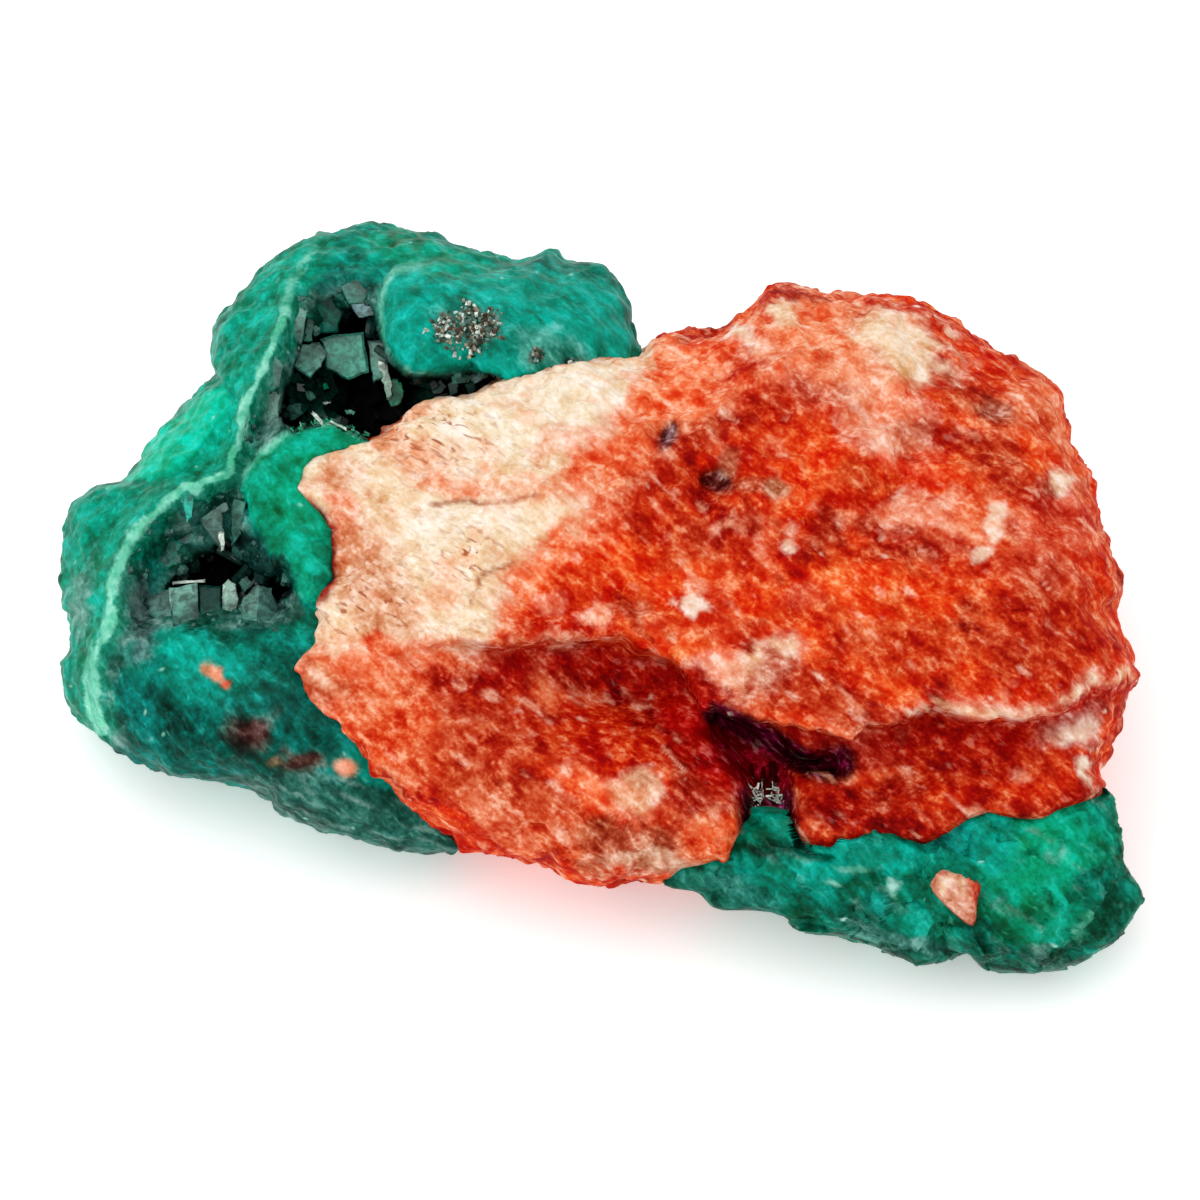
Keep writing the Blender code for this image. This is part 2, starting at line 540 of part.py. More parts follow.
def left_shape(direction):
    """The left mass: a banded rim, the basins of two vugs, and the round lobes beside them."""
    across, up, out, share, is_front = pillow(
        direction, LEFT_OUTLINE, LEFT_CENTRE, lean, LEFT_FRONT, LEFT_BACK, LEFT_CROWN, LEFT_EDGE)
    inner = is_front * (1 - share ** RELIEF_POWER)
    ridge = BAND_HEIGHT * np.exp(-(line_distance(BAND, across, up) / BAND_WIDTH) ** 2)
    for basin in (UPPER_BASIN, LOWER_BASIN):
        ridge -= BASIN_DEPTH * ramp(*BASIN_SLOPE, depth_inside(basin, across, up))
    for lobe, height in ((BALL, BALL_HEIGHT), (MIDDLE_LOBE, MIDDLE_LOBE_HEIGHT)):
        within = np.clip(depth_inside(lobe, across, up) / LOBE_SHOULDER, 0, 1)
        ridge += height * np.sqrt(1 - (1 - within) ** 2)
    ridge += swelling(LOWER_LOBE, across, up)
    out = out + ridge * inner
    place = np.stack([across, up, out], axis=1)
    rough = kind(lumps, place, LEFT_LUMPS) - LUMP_MEAN * LEFT_LUMPS[0]
    rough += kind(waves, place, LEFT_WAVES)
    return roughened(place, direction, share, is_front, rough, LEFT_SPREAD)


def lower_shape(direction):
    """The lower mass: a lumpy green ledge in front of the foot of the matrix."""
    def rim(across, up):
        return LOWER_RIM + 0 * across

    across, up, out, share, is_front = pillow(
        direction, LOWER_OUTLINE, LOWER_CENTRE, rim, LOWER_FRONT, LOWER_BACK, LOWER_CROWN, LOWER_EDGE)
    place = np.stack([across, up, out], axis=1)
    rough = kind(lumps, place, LOWER_LUMPS) - LUMP_MEAN * LOWER_LUMPS[0]
    rough += kind(waves, place, LOWER_WAVES)
    return roughened(place, direction, share, is_front, rough, LOWER_SPREAD)


def chip_shape(direction):
    """The chip of matrix: a small angular wedge."""
    def rim(across, up):
        return CHIP_RIM + 0 * across

    places = pillow(
        direction, CHIP_OUTLINE, CHIP_CENTRE, rim, CHIP_FRONT, CHIP_BACK, MATRIX_CROWN, CHIP_EDGE)
    return to_world(*places[:3])


def inset(outline, amount):
    """The outline moved inwards by an amount, across the line between each point's neighbours."""
    knots = np.array(outline, dtype=float)
    side = np.roll(knots, -1, axis=0) - np.roll(knots, 1, axis=0)
    inward = np.stack([-side[:, 1], side[:, 0]], axis=1)
    area = np.sum(knots[:, 0] * np.roll(knots[:, 1], -1) - np.roll(knots[:, 0], -1) * knots[:, 1])
    inward *= np.sign(area) / np.linalg.norm(inward, axis=1)[:, None]
    return knots + amount * inward


def hollow(name, outline, middle, rings, smaller=0, top=None):
    """A cutter in the shape of a hollow: the outline carried through its rings, closed at both ends.

    smaller draws its wall and its floor in, and top lowers its mouth."""
    knots = inset(outline, smaller)
    base = lean(*middle)
    if top is not None:
        rings = [(top, *rings[0][1:])] + [ring for ring in rings if ring[0] < top]
    floor = rings[-1][0] + smaller
    shape = bmesh.new()
    loops = []
    for outward, scale, shift_across, shift_up in rings:
        spot = (knots - middle) * scale + middle + (shift_across, shift_up)
        depth = np.full(len(spot), base + max(outward, floor))
        loops.append([shape.verts.new(place) for place in to_world(spot[:, 0], spot[:, 1], depth)])
    for above, below in zip(loops, loops[1:]):
        for k in range(len(above)):
            after = (k + 1) % len(above)
            shape.faces.new((above[k], below[k], below[after], above[after]))
    shape.faces.new(loops[0])
    shape.faces.new(loops[-1][::-1])
    return cutter(name, shape)


def cutter(name, shape):
    """A cutter from closed faces, turned outward."""
    bmesh.ops.recalc_face_normals(shape, faces=shape.faces[:])
    mesh = bpy.data.meshes.new(name)
    shape.to_mesh(mesh)
    shape.free()
    return new_object(name, mesh)


def crystal(foot, tip, axis_lean, half_width, turn, base):
    """A six-sided prism with a three-faced point, its axis leaning across and up as it goes out.

    Its root lies below its foot at CRYSTAL_ROOT. The shoulders of the point rise and fall by
    turns, as on a rhombohedral end."""
    axis = np.array([*axis_lean, 1.0])
    side = np.cross(axis, (0.0, 1.0, 0.0))
    side /= np.linalg.norm(side)
    other = np.cross(axis, side) / np.linalg.norm(axis)
    start = np.array([*foot, base]) + axis * CRYSTAL_ROOT
    length = tip - CRYSTAL_ROOT
    shape = bmesh.new()

    def corner(spot):
        return shape.verts.new(to_world(*spot[:, None])[0])

    bottom, shoulder = [], []
    for k in range(6):
        angle = turn + k * math.pi / 3
        spoke = half_width * (math.cos(angle) * side + math.sin(angle) * other)
        bottom.append(corner(start + spoke))
        shoulder.append(corner(start + spoke + axis * (length - half_width * CRYSTAL_SHOULDERS[k % 2])))
    point = corner(start + axis * length)
    for k in range(6):
        after = (k + 1) % 6
        shape.faces.new((bottom[k], bottom[after], shoulder[after], shoulder[k]))
    for k in (1, 3, 5):
        shape.faces.new((shoulder[k - 1], shoulder[k], point))
        shape.faces.new((shoulder[k], shoulder[(k + 1) % 6], point))
    shape.faces.new(bottom[::-1])
    return cutter("crystal", shape)


def only_body(thing):
    """Keep the largest body of a mesh, and drop the crumbs that a cut leaves."""
    shape = bmesh.new()
    shape.from_mesh(thing.data)
    unseen = set(shape.verts)
    bodies = []
    while unseen:
        start = unseen.pop()
        body, edge = {start}, [start]
        while edge:
            for link in edge.pop().link_edges:
                for vert in link.verts:
                    if vert in unseen:
                        unseen.remove(vert)
                        body.add(vert)
                        edge.append(vert)
        bodies.append(body)
    largest = max(bodies, key=len)
    crumbs = [vert for body in bodies if body is not largest for vert in body]
    bmesh.ops.delete(shape, geom=crumbs, context="VERTS")
    shape.to_mesh(thing.data)
    shape.free()
    return thing


def crust(name, outline, middle, rings, top, crystals, socket, material):
    """The crystals of a hollow: a thin lining with crystals standing on it, clear of the rock.

    The lining ends at top. A socket is the rock beside the hollow, which cuts the crust too."""
    lining = hollow(name, outline, middle, rings, CLEARANCE, top)
    core = hollow("core", outline, middle, rings, CLEARANCE + LINING)
    lining = carved(lining, core, "DIFFERENCE")
    for number, (across, up, tip, lean_across, lean_up, half_width) in enumerate(crystals):
        prism = crystal((across, up), tip, (lean_across, lean_up), half_width,
                        number * CRYSTAL_TURN, lean(*middle))
        lining = carved(lining, prism, "UNION")
    lining = carved(lining, hollow("room", outline, middle, rings, CLEARANCE), "INTERSECT")
    if socket:
        lining = carved(lining, socket, "DIFFERENCE")
    return only_body(settled(lining, name, material))


def build():
    """Model every piece of the specimen."""
    red_stone = paint("red_matrix", *RED_STONE)
    pink_stone = paint("pink_chip", *PINK_STONE)
    green = paint("dioptase", *GREEN_STONE)
    crystal_green = paint("dioptase_crystal", *GREEN_CRYSTAL)
    dark_crystal = paint("pocket_crystal", *DARK_CRYSTAL)

    upper = (UPPER_VUG, UPPER_VUG_MIDDLE, UPPER_VUG_RINGS)
    bottom = (LOWER_VUG, LOWER_VUG_MIDDLE, LOWER_VUG_RINGS)
    pocket = (POCKET, POCKET_MIDDLE, POCKET_RINGS)

    matrix = rock("matrix", matrix_shape, MATRIX_FACETS, red_stone)
    left = rock("dioptase_left", left_shape, LEFT_FACETS, green)
    lower = rock("dioptase_lower", lower_shape, LOWER_FACETS, green, LOWER_GRID)
    chip = rock("matrix_chip", chip_shape, CHIP_FACETS, pink_stone, CHIP_GRID)
    socket = grown(matrix, CLEARANCE, "matrix_socket")

    left = carved(left, socket, "DIFFERENCE")
    left = carved(left, hollow("upper_vug", *upper), "DIFFERENCE")
    only_body(carved(left, hollow("lower_vug", *bottom), "DIFFERENCE"))
    lower = carved(lower, socket, "DIFFERENCE")
    only_body(carved(lower, grown(chip, CLEARANCE, "chip_socket"), "DIFFERENCE"))
    only_body(carved(matrix, hollow("pocket", *pocket), "DIFFERENCE"))

    crust("upper_vug_crystals", *upper, LINING_TOP[0], UPPER_CRYSTALS, socket, crystal_green)
    crust("lower_vug_crystals", *bottom, LINING_TOP[1], LOWER_CRYSTALS, socket, crystal_green)
    crust("pocket_crystals", *pocket, LINING_TOP[2], POCKET_CRYSTALS, None, dark_crystal)


for old in list(bpy.data.objects):
    bpy.data.objects.remove(old)
build()
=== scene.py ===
"""Dioptase on matrix: the looks of a mineral specimen 75 mm long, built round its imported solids.

A rock of red and cream matrix carries two masses of green dioptase. The left one has a pale band,
round lobes and two hollows lined with crystals, and the lower one is a ledge with a chip of matrix.

Shapes are worked out in the leaning frame that the solids use: across is +X, up leans back, and
out points to the viewer, who looks down at VIEW_ELEVATION from VIEW_DISTANCE. Places in it are
millimetres from the middle of the view, and place() turns them into metres of the row frame.
"""

import math

import bpy
import numpy as np
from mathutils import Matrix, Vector


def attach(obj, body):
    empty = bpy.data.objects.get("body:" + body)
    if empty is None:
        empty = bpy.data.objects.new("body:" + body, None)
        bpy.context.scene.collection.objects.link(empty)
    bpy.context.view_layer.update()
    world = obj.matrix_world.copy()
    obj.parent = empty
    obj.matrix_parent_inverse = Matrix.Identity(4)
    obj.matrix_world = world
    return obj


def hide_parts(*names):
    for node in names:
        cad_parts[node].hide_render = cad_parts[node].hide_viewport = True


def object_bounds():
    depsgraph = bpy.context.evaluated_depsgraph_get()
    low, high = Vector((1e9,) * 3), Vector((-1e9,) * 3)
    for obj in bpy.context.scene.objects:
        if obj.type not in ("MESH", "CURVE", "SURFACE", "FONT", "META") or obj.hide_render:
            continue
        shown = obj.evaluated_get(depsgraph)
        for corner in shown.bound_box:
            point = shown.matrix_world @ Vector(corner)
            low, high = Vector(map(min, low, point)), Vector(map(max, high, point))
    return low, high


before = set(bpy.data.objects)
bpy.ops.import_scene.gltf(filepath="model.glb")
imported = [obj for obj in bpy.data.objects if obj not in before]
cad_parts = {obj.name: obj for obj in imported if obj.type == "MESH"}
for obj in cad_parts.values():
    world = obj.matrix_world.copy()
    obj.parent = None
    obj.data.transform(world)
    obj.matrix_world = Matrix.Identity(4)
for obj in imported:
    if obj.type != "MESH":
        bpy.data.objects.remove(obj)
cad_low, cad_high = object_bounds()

# Driving dimensions, in mm unless a comment says otherwise
LENGTH = 75.2139                        # of the solids, from end to end along +X
MM = (cad_high.x - cad_low.x) / LENGTH  # metres in the row frame for each mm
VIEW_ELEVATION = math.radians(50)
VIEW_DISTANCE = 347.0
VIEW_WIDTH = 83.28                      # what the photograph's frame spans at the middle
MIDDLE = np.array([-8.1, -2.2, 11.5])   # the middle of the view, from the middle of the resting face
LEAN_BACK, LEAN_SIDE = -0.41, 0.10      # mm outward for each mm up, and for each mm across
FLATNESS = 0.45                         # height over reach, for points spread evenly on a mass
BLEND = 10.0                            # how sharply two broken faces part
SOFTENING = range(-24, 25, 6)           # degrees either side that an outline is averaged over
CURVE_STEPS = 5                         # points on a smooth outline for each of its knots
PROFILE_STEPS = 400                     # points that a dome's profile is measured with
BUMP_POWER = 6                          # of the share of the reach: how small bumps fade inward
RELIEF_POWER = 10                       # the same for the relief, which fades at the rim
RIM_POWER = 12                          # and for the ripples that only the rim has
LUMP_MEAN = 0.6                         # the mean height of round lumps
TURNED_AWAY = (0.97, 1.12)              # turns over which the front's colours give way
OVAL_FRAY, OVAL_EDGE = 0.35, (0.55, 1.35)    # shares of an oval's size
WARPS = ((0.8, 3.6, 0), (0.6, 1.3, 2), (0.3, 0.5, 4))    # shift and size in mm, and step of the seed

# Roughness: for each kind how far it stands in mm, how far across in mm, and the seed of its
# pattern. A spread is the share of it at the rim, what the front and the back add towards their
# middles, and the power of the share of the reach that this fades with.
MATRIX_WAVES, MATRIX_CHIPS, MATRIX_RIPPLES = (1.1, 11, 1), (1.3, 7, 2), (0.5, 3.5, 3)
MATRIX_BREAKS, MATRIX_SPLINTERS = (0.55, 2.4, 4), (0.30, 1.1, 5)
MATRIX_STROKES, MATRIX_RIM = (0.14, 0.5, 6), (0.35, 1.3, 46)
MATRIX_SPREAD = (0.25, 0.55, 1.5, 8)
LEFT_LUMPS, LEFT_WAVES = (1.1, 6, 11), (0.4, 3, 12)
LEFT_GRAPES, LEFT_BREAKS, LEFT_FACETS = (0.30, 2.1, 13), (0.22, 1.3, 14), (0.6, 1.7, 70)
LEFT_RIPPLES, LEFT_RIM = (0.10, 0.5, 15), (0.3, 1.3, 69)
LEFT_SPREAD = (0.5, 0.0, 1.7, 6)
LOWER_LUMPS, LOWER_WAVES = (1.0, 5, 21), (0.5, 2.5, 22)
LOWER_FACETS, LOWER_CHIPS, LOWER_RIPPLES = (0.85, 2.4, 23), (0.30, 1.1, 24), (0.10, 0.5, 25)
LOWER_SPREAD, LOWER_EASED = (0.3, 0.7, 0.7, 6), 0.6    # the share of its chips that the rim loses
CHIP_FACETS, CHIP_RIPPLES, CHIP_GLOSS = (0.22, 1.3, 81), (0.1, 0.4, 82), 0.35

# Squares along the edge of the two sheets that each mass is drawn from
MATRIX_SQUARES, LEFT_SQUARES, LOWER_SQUARES, CHIP_SQUARES = 220, 220, 130, 40

# Matrix. Its rim is lifted by MATRIX_LIP from the bearings of LIP_START, in degrees, to those of
# LIP_END. A round form, such as HOLLOW, is its middle, its half sizes and its height.
MATRIX_CENTRE, MATRIX_FRONT, MATRIX_BACK = (6.9, -0.7), 11.0, 18.0
MATRIX_CROWN, MATRIX_EDGE = 4.0, 0.35
MATRIX_LIP, LIP_START, LIP_END = 8.6, (98, 116), (205, 224)
MATRIX_OUTLINE = (
    (2.8, 16.8), (1.4, 16.5), (-1.7, 16.2), (-4.9, 15.7), (-7.3, 15.0), (-9.0, 14.1), (-11.1, 14.0),
    (-13.0, 13.0), (-14.1, 11.9), (-16.0, 10.9), (-18.0, 10.5), (-20.0, 9.9), (-20.6, 9.2), (-21.0, 7.6),
    (-19.6, 6.1), (-18.7, 4.9), (-18.7, 1.4), (-19.4, -0.3), (-19.6, -3.1), (-20.6, -4.3), (-20.5, -6.2),
    (-19.1, -8.0), (-16.9, -10.1), (-15.6, -11.9), (-13.5, -13.9), (-11.4, -15.5), (-9.7, -16.9),
    (-6.9, -17.7), (-3.8, -18.3), (-0.7, -19.3), (2.8, -19.4), (4.5, -19.6), (6.9, -19.3), (8.6, -18.9),
    (9.3, -17.6), (9.9, -16.2), (10.6, -15.7), (12.8, -15.7), (13.7, -16.2), (14.4, -17.3), (16.2, -17.8),
    (22.2, -17.8), (25.3, -17.1), (27.8, -16.2), (31.2, -15.7), (34.1, -14.1), (34.8, -12.8), (34.4, -11.8),
    (35.3, -9.9), (36.1, -6.7), (37.0, -4.9), (35.5, -0.8), (35.8, 0.7), (35.0, 3.5), (33.8, 8.0),
    (32.5, 10.8), (31.4, 14.4), (29.8, 15.8), (26.2, 18.1), (22.5, 20.4), (19.8, 21.0), (16.7, 21.0),
    (13.9, 21.7), (11.8, 21.7), (10.8, 20.6), (8.0, 18.7), (4.5, 18.2),
)
LEDGE = (
    (-20.8, -3.6), (-13.9, -3.8), (-8.3, -2.8), (-2.8, -3.5), (1.4, -3.1), (4.9, -4.7), (6.9, -6.9),
    (11.8, -8.5), (17.3, -9.9), (20.8, -8.9), (23.6, -8.0), (28.4, -8.7), (31.2, -8.0), (33.6, -6.2),
    (37.1, -5.6),
)
LEDGE_DEPTH = (
    (-20, 0.7), (-13, 0.9), (-8, 1.8), (0, 3.4), (10, 4.2), (18, 4.2), (30, 3.8), (36, 2.0),
)
RECESS_RUN, RECESS_SWELL = (3, 9), 0.6    # mm below the ledge, and the share that is filled again
HOLLOW = (2.1, -6.0, 5.0, 2.2, 2.4)
CAVITY_DEPTH, CAVITY_WALL = 3.4, (-0.8, 1.6)    # mm inside its outline, from top to foot
SCRATCHES = ((-11.6, 11.4, 3.6, 1.8), (-16.0, -0.6, 3.0, 2.4), (-9.0, 3.0, 2.0, 1.5))
CRIMSON_WALL = (
    (4.2, -7.2), (7.2, -7.2), (9.6, -8.4), (12.6, -9.6), (14.2, -12.6), (11.4, -14.6), (9.4, -14.6),
    (7.6, -12.8), (5.8, -10.6), (4.2, -9.2),
)
SHADE_LINE = (
    (8.2, -8.0), (9.9, -8.7), (12.1, -9.8), (13.8, -11.0), (15.4, -11.8), (16.9, -11.6), (16.9, -11.0),
)
CAVITY = (
    (8.0, -7.8), (11.1, -9.0), (13.9, -10.3), (16.0, -10.1), (17.1, -10.5), (17.0, -12.3), (14.7, -12.3),
    (13.7, -12.6), (13.8, -15.8), (13.6, -17.4), (9.8, -17.4), (9.8, -15.8), (9.8, -13.2), (8.8, -11.4),
    (7.6, -9.7),
)
CRACKS = (
    ((-11.8, 6.6), (-6.9, 6.9), (-4.2, 7.1)),
    ((-5.9, 2.8), (-8.3, 1.7), (-9.0, -0.3)),
)
CRACK_DEPTH, CRACK_WIDTH = 0.22, 0.3
PITS = ((4.7, 11.3, 0.9), (8.2, 8.2, 1.0), (27.4, 13.2, 1.1))

# Left mass of dioptase
LEFT_CENTRE, LEFT_FRONT, LEFT_BACK = (-18.7, 5.6), 8.0, 14.0
LEFT_CROWN, LEFT_EDGE = 3.4, 0.42
LEFT_OUTLINE = (
    (2.8, 17.3), (2.3, 19.1), (1.9, 20.6), (1.0, 22.0), (-0.2, 23.2), (-2.6, 23.4), (-3.5, 24.2),
    (-5.2, 23.6), (-6.9, 23.6), (-9.4, 24.2), (-12.1, 25.1), (-15.7, 25.7), (-19.1, 25.1), (-21.9, 23.9),
    (-24.6, 21.2), (-26.5, 19.1), (-26.8, 16.4), (-26.4, 15.3), (-27.6, 14.4), (-28.5, 13.5), (-30.5, 11.4),
    (-32.6, 8.5), (-35.0, 7.8), (-36.8, 5.6), (-37.1, 0.0), (-36.6, -1.0), (-36.7, -3.5), (-37.3, -4.6),
    (-36.4, -7.6), (-34.6, -9.6), (-31.9, -11.4), (-29.5, -12.2), (-25.7, -12.4), (-23.0, -13.5),
    (-22.1, -14.6), (-17.7, -16.2), (-11.8, -17.1), (-9.7, -16.9), (-9.0, -13.2), (-10.4, -6.9),
    (-11.1, -1.4), (-10.1, 4.2), (-6.9, 9.0), (-2.1, 13.2), (1.7, 15.8),
)
# The mint band, and the lobes that stand over the dome
BAND = (
    (-19.8, 24.6), (-21.5, 21.5), (-22.2, 18.7), (-23.5, 16.0), (-24.6, 13.2), (-25.3, 10.4), (-26.0, 8.7),
    (-29.8, 7.3), (-32.3, 4.9), (-33.6, 2.1), (-34.0, -1.4), (-35.0, -3.5), (-35.4, -6.2), (-34.7, -9.0),
)
BALL = (
    (-14.4, 23.0), (-11.1, 23.5), (-6.9, 23.0), (-2.8, 23.0), (0.0, 22.5), (1.5, 20.8), (2.2, 18.4),
    (2.2, 15.8), (-2.8, 14.0), (-7.3, 14.3), (-9.0, 16.2), (-11.1, 15.5), (-13.0, 15.4), (-14.2, 16.3),
    (-15.1, 17.7), (-15.4, 20.1), (-15.1, 21.9),
)
MIDDLE_LOBE = (
    (-24.6, 9.0), (-23.5, 10.3), (-21.9, 11.6), (-20.5, 12.2), (-18.4, 12.5), (-16.3, 11.4), (-13.9, 10.4),
    (-15.3, 5.6), (-17.3, 0.0), (-20.5, -0.3), (-22.9, 2.8), (-24.3, 5.6), (-25.0, 7.6),
)
BAND_HEIGHT, BAND_WIDTH = 1.0, 0.8
BALL_HEIGHT, MIDDLE_LOBE_HEIGHT, LOBE_SHOULDER = 3.0, 1.6, 3.5
SLAB_HEIGHT = 0.7
BRIGHT_SLAB = (
    (-34.0, 8.8), (-31.2, 11.4), (-29.5, 12.6), (-27.4, 14.5), (-26.2, 14.8), (-25.5, 14.2), (-25.6, 13.0),
    (-26.7, 11.6), (-28.1, 9.9), (-29.7, 8.7), (-31.2, 8.3), (-32.6, 8.3),
)
LOWER_LOBE = (-25.5, -7.0, 8.5, 5.0, 1.3)
UPPER_BASIN = (
    (-20.8, 21.6), (-18.0, 22.0), (-14.9, 21.8), (-15.4, 20.8), (-15.4, 17.7), (-13.9, 15.7), (-9.0, 16.1),
    (-6.9, 15.8), (-6.2, 14.2), (-11.1, 12.8), (-13.9, 11.1), (-16.3, 11.3), (-18.7, 12.5), (-21.9, 11.6),
    (-24.6, 9.2), (-25.0, 11.1), (-23.9, 13.9), (-22.5, 17.3), (-21.5, 20.0),
)
LOWER_BASIN = (
    (-31.2, 5.6), (-28.4, 6.9), (-25.7, 8.3), (-24.8, 8.3), (-24.6, 5.6), (-23.0, 2.8), (-20.8, 1.0),
    (-20.5, -1.0), (-22.5, -2.4), (-26.0, -2.1), (-29.8, -2.2), (-33.0, -2.8), (-33.3, 0.0), (-32.7, 2.8),
)
BASIN_DEPTH, BASIN_SLOPE = 3.0, (-0.2, 2.5)

# The black mouths of the two vugs within their basins, how far their floors lie outward of the
# rim plane, and how far inward of the mouth a wall starts and ends
UPPER_MOUTH = (
    (-20.6, 17.9), (-18.4, 20.2), (-15.9, 20.4), (-15.3, 18.7), (-14.9, 16.9), (-13.4, 15.6), (-10.4, 15.5),
    (-7.5, 15.8), (-5.5, 14.5), (-6.0, 12.0), (-9.8, 10.2), (-13.0, 9.2), (-16.3, 11.0), (-18.7, 12.3),
    (-21.3, 11.5), (-22.3, 12.2), (-21.8, 14.9),
)
LOWER_MOUTH = (
    (-30.0, 1.1), (-29.1, 2.1), (-28.0, 3.0), (-26.9, 3.5), (-26.4, 4.3), (-25.8, 4.2), (-25.4, 3.1),
    (-24.4, 2.4), (-23.2, 1.7), (-21.3, 1.1), (-21.3, 0.4), (-22.6, -0.3), (-25.3, -0.2), (-27.8, -0.4),
    (-30.0, -0.3),
)
VUG_FLOORS, VUG_WALL = (-3.2, -2.4), (-0.05, 0.5)
MOUTH_MIDDLES = ((-15.5, 15.0), (-26.8, 1.8))

# Lower mass of dioptase, and the chip of matrix set in it
LOWER_CENTRE, LOWER_RIM, LOWER_FRONT, LOWER_BACK = (22.9, -19.8), 11.0, 3.4, 14.0
LOWER_CROWN, LOWER_EDGE = 2.6, 0.5
LOWER_OUTLINE = (
    (4.5, -19.6), (6.7, -20.3), (8.1, -21.4), (11.4, -21.6), (13.2, -21.9), (13.8, -22.7), (16.3, -23.2),
    (18.7, -23.8), (20.8, -24.5), (22.3, -25.0), (23.9, -24.8), (25.1, -24.1), (26.4, -25.3), (27.8, -25.7),
    (31.2, -25.7), (33.3, -25.0), (35.7, -23.5), (37.3, -21.4), (37.5, -20.1), (36.4, -18.3), (36.1, -15.5),
    (35.4, -13.6), (34.6, -13.0), (33.0, -13.7), (31.2, -14.0), (29.1, -14.2), (27.1, -13.6), (26.0, -13.9),
    (24.1, -14.9), (21.6, -15.2), (19.8, -15.0), (17.2, -15.2), (13.7, -14.6), (9.9, -14.6), (6.9, -16.9),
)
# Where the matrix and the lower mass meet, as the viewer sees it, and how steeply they part there
CONTACT = (
    (3.5, -19.9), (5.5, -18.3), (6.8, -18.0), (8.2, -17.6), (8.85, -18.7), (9.1, -17.1), (9.8, -15.7),
    (10.0, -15.1), (13.35, -15.2), (13.45, -16.9), (14.6, -17.2), (16.0, -17.4), (17.1, -16.4),
    (18.8, -16.0), (20.5, -16.1), (22.5, -16.7), (24.1, -16.0), (25.5, -14.9), (26.9, -14.4), (28.6, -14.8),
    (30.7, -15.1), (32.0, -14.4), (33.4, -13.9), (34.9, -13.6), (36.5, -13.0),
)
CONTACT_SLOPE, OVERHANG = 3.0, 0.7
CHIP_CENTRE, CHIP_RIM, CHIP_FRONT, CHIP_BACK, CHIP_EDGE = (24.7, -20.4), 14.2, 0.9, 2.4, 0.5
CHIP_OUTLINE = (
    (22.8, -19.8), (23.5, -18.7), (24.8, -18.7), (26.4, -19.6), (26.2, -20.8), (25.9, -22.6), (24.3, -21.5),
)


def rgb(red, green, blue):
    """Linear light of a colour that is given on the eye's scale, 0 to 255."""
    value = np.array([red, green, blue]) / 255
    return np.where(value <= 0.04045, value / 12.92, ((value + 0.055) / 1.055) ** 2.4)


# Colours of the matrix
CREAM, IVORY, TAN = rgb(234, 208, 176), rgb(238, 224, 202), rgb(212, 148, 112)
SALMON, PINK, ROSE = rgb(230, 122, 78), rgb(238, 170, 138), rgb(194, 76, 54)
ORANGE, RED, DEEP_RED = rgb(226, 78, 26), rgb(198, 48, 12), rgb(150, 8, 1)
BROWN, RUST, PLUM = rgb(150, 60, 36), rgb(178, 54, 24), rgb(60, 0, 14)
METAL, CRIMSON, WALL_RED = rgb(84, 38, 40), rgb(124, 0, 12), rgb(184, 14, 6)
SHADE_RED, OCHRE, CHIP_PINK = rgb(162, 10, 2), rgb(164, 92, 50), rgb(206, 142, 116)
WRINKLE = rgb(158, 74, 38)

# Colours of the dioptase
RIND, BRIGHT, MINT = rgb(0, 148, 118), rgb(0, 188, 152), rgb(128, 212, 184)
TEAL, DARK_TEAL, TURQUOISE = rgb(0, 124, 104), rgb(0, 92, 82), rgb(0, 158, 138)
LINING, PALE_LINING, EMERALD = rgb(52, 106, 96), rgb(112, 148, 138), rgb(0, 160, 118)
FOREST, VUG_SHADE_BLACK, SHADED = rgb(0, 72, 54), rgb(2, 2, 3), rgb(8, 44, 40)
PALE_GREEN, GLINT = rgb(150, 214, 196), rgb(176, 226, 212)
LEDGE_GREEN, STRIP_GREEN = rgb(0, 118, 92), rgb(34, 92, 80)

# Colours of the crystals
GREY, DULL, DEEP = rgb(94, 132, 120), rgb(62, 104, 92), rgb(4, 66, 50)
JADE, GLOW, LILAC = rgb(58, 128, 110), rgb(0, 140, 88), rgb(104, 134, 138)
FROST, DIM, SLATE = rgb(206, 218, 206), rgb(10, 34, 30), rgb(72, 104, 98)
SEPIA, SAND, OLIVE = rgb(84, 58, 44), rgb(150, 140, 116), rgb(76, 66, 50)


def closed_curve(points):
    """Points of a smooth closed curve through an outline, by the Catmull-Rom formula."""
    knots = np.array(points, dtype=float)
    before, after = np.roll(knots, 1, axis=0), np.roll(knots, -1, axis=0)
    beyond = np.roll(knots, -2, axis=0)
    curve = [0.5 * (2 * knots + (after - before) * t
                    + (2 * before - 5 * knots + 4 * after - beyond) * t ** 2
                    + (3 * knots - before - 3 * after + beyond) * t ** 3)
             for t in np.arange(CURVE_STEPS) / CURVE_STEPS]
    return np.stack(curve, axis=1).reshape(-1, 2)


def reach(outline, centre, angle):
    """Distance from the centre to the outline along each angle: a ray cut by the edge it meets."""
    curve = closed_curve(outline) - np.array(centre)
    bearing = np.unwrap(np.arctan2(curve[:, 1], curve[:, 0]))
    if bearing[-1] < bearing[0]:
        curve, bearing = curve[::-1], bearing[::-1]
    turned = bearing[0] + np.mod(angle - bearing[0], 2 * np.pi)
    bearing = np.maximum.accumulate(bearing)
    edge = np.clip(np.searchsorted(bearing, turned, side="right") - 1, 0, len(curve) - 1)
    first, last = curve[edge], curve[(edge + 1) % len(curve)]
    side = last - first
    crossed = first[:, 0] * side[:, 1] - first[:, 1] * side[:, 0]
    return crossed / (np.cos(angle) * side[:, 1] - np.sin(angle) * side[:, 0])


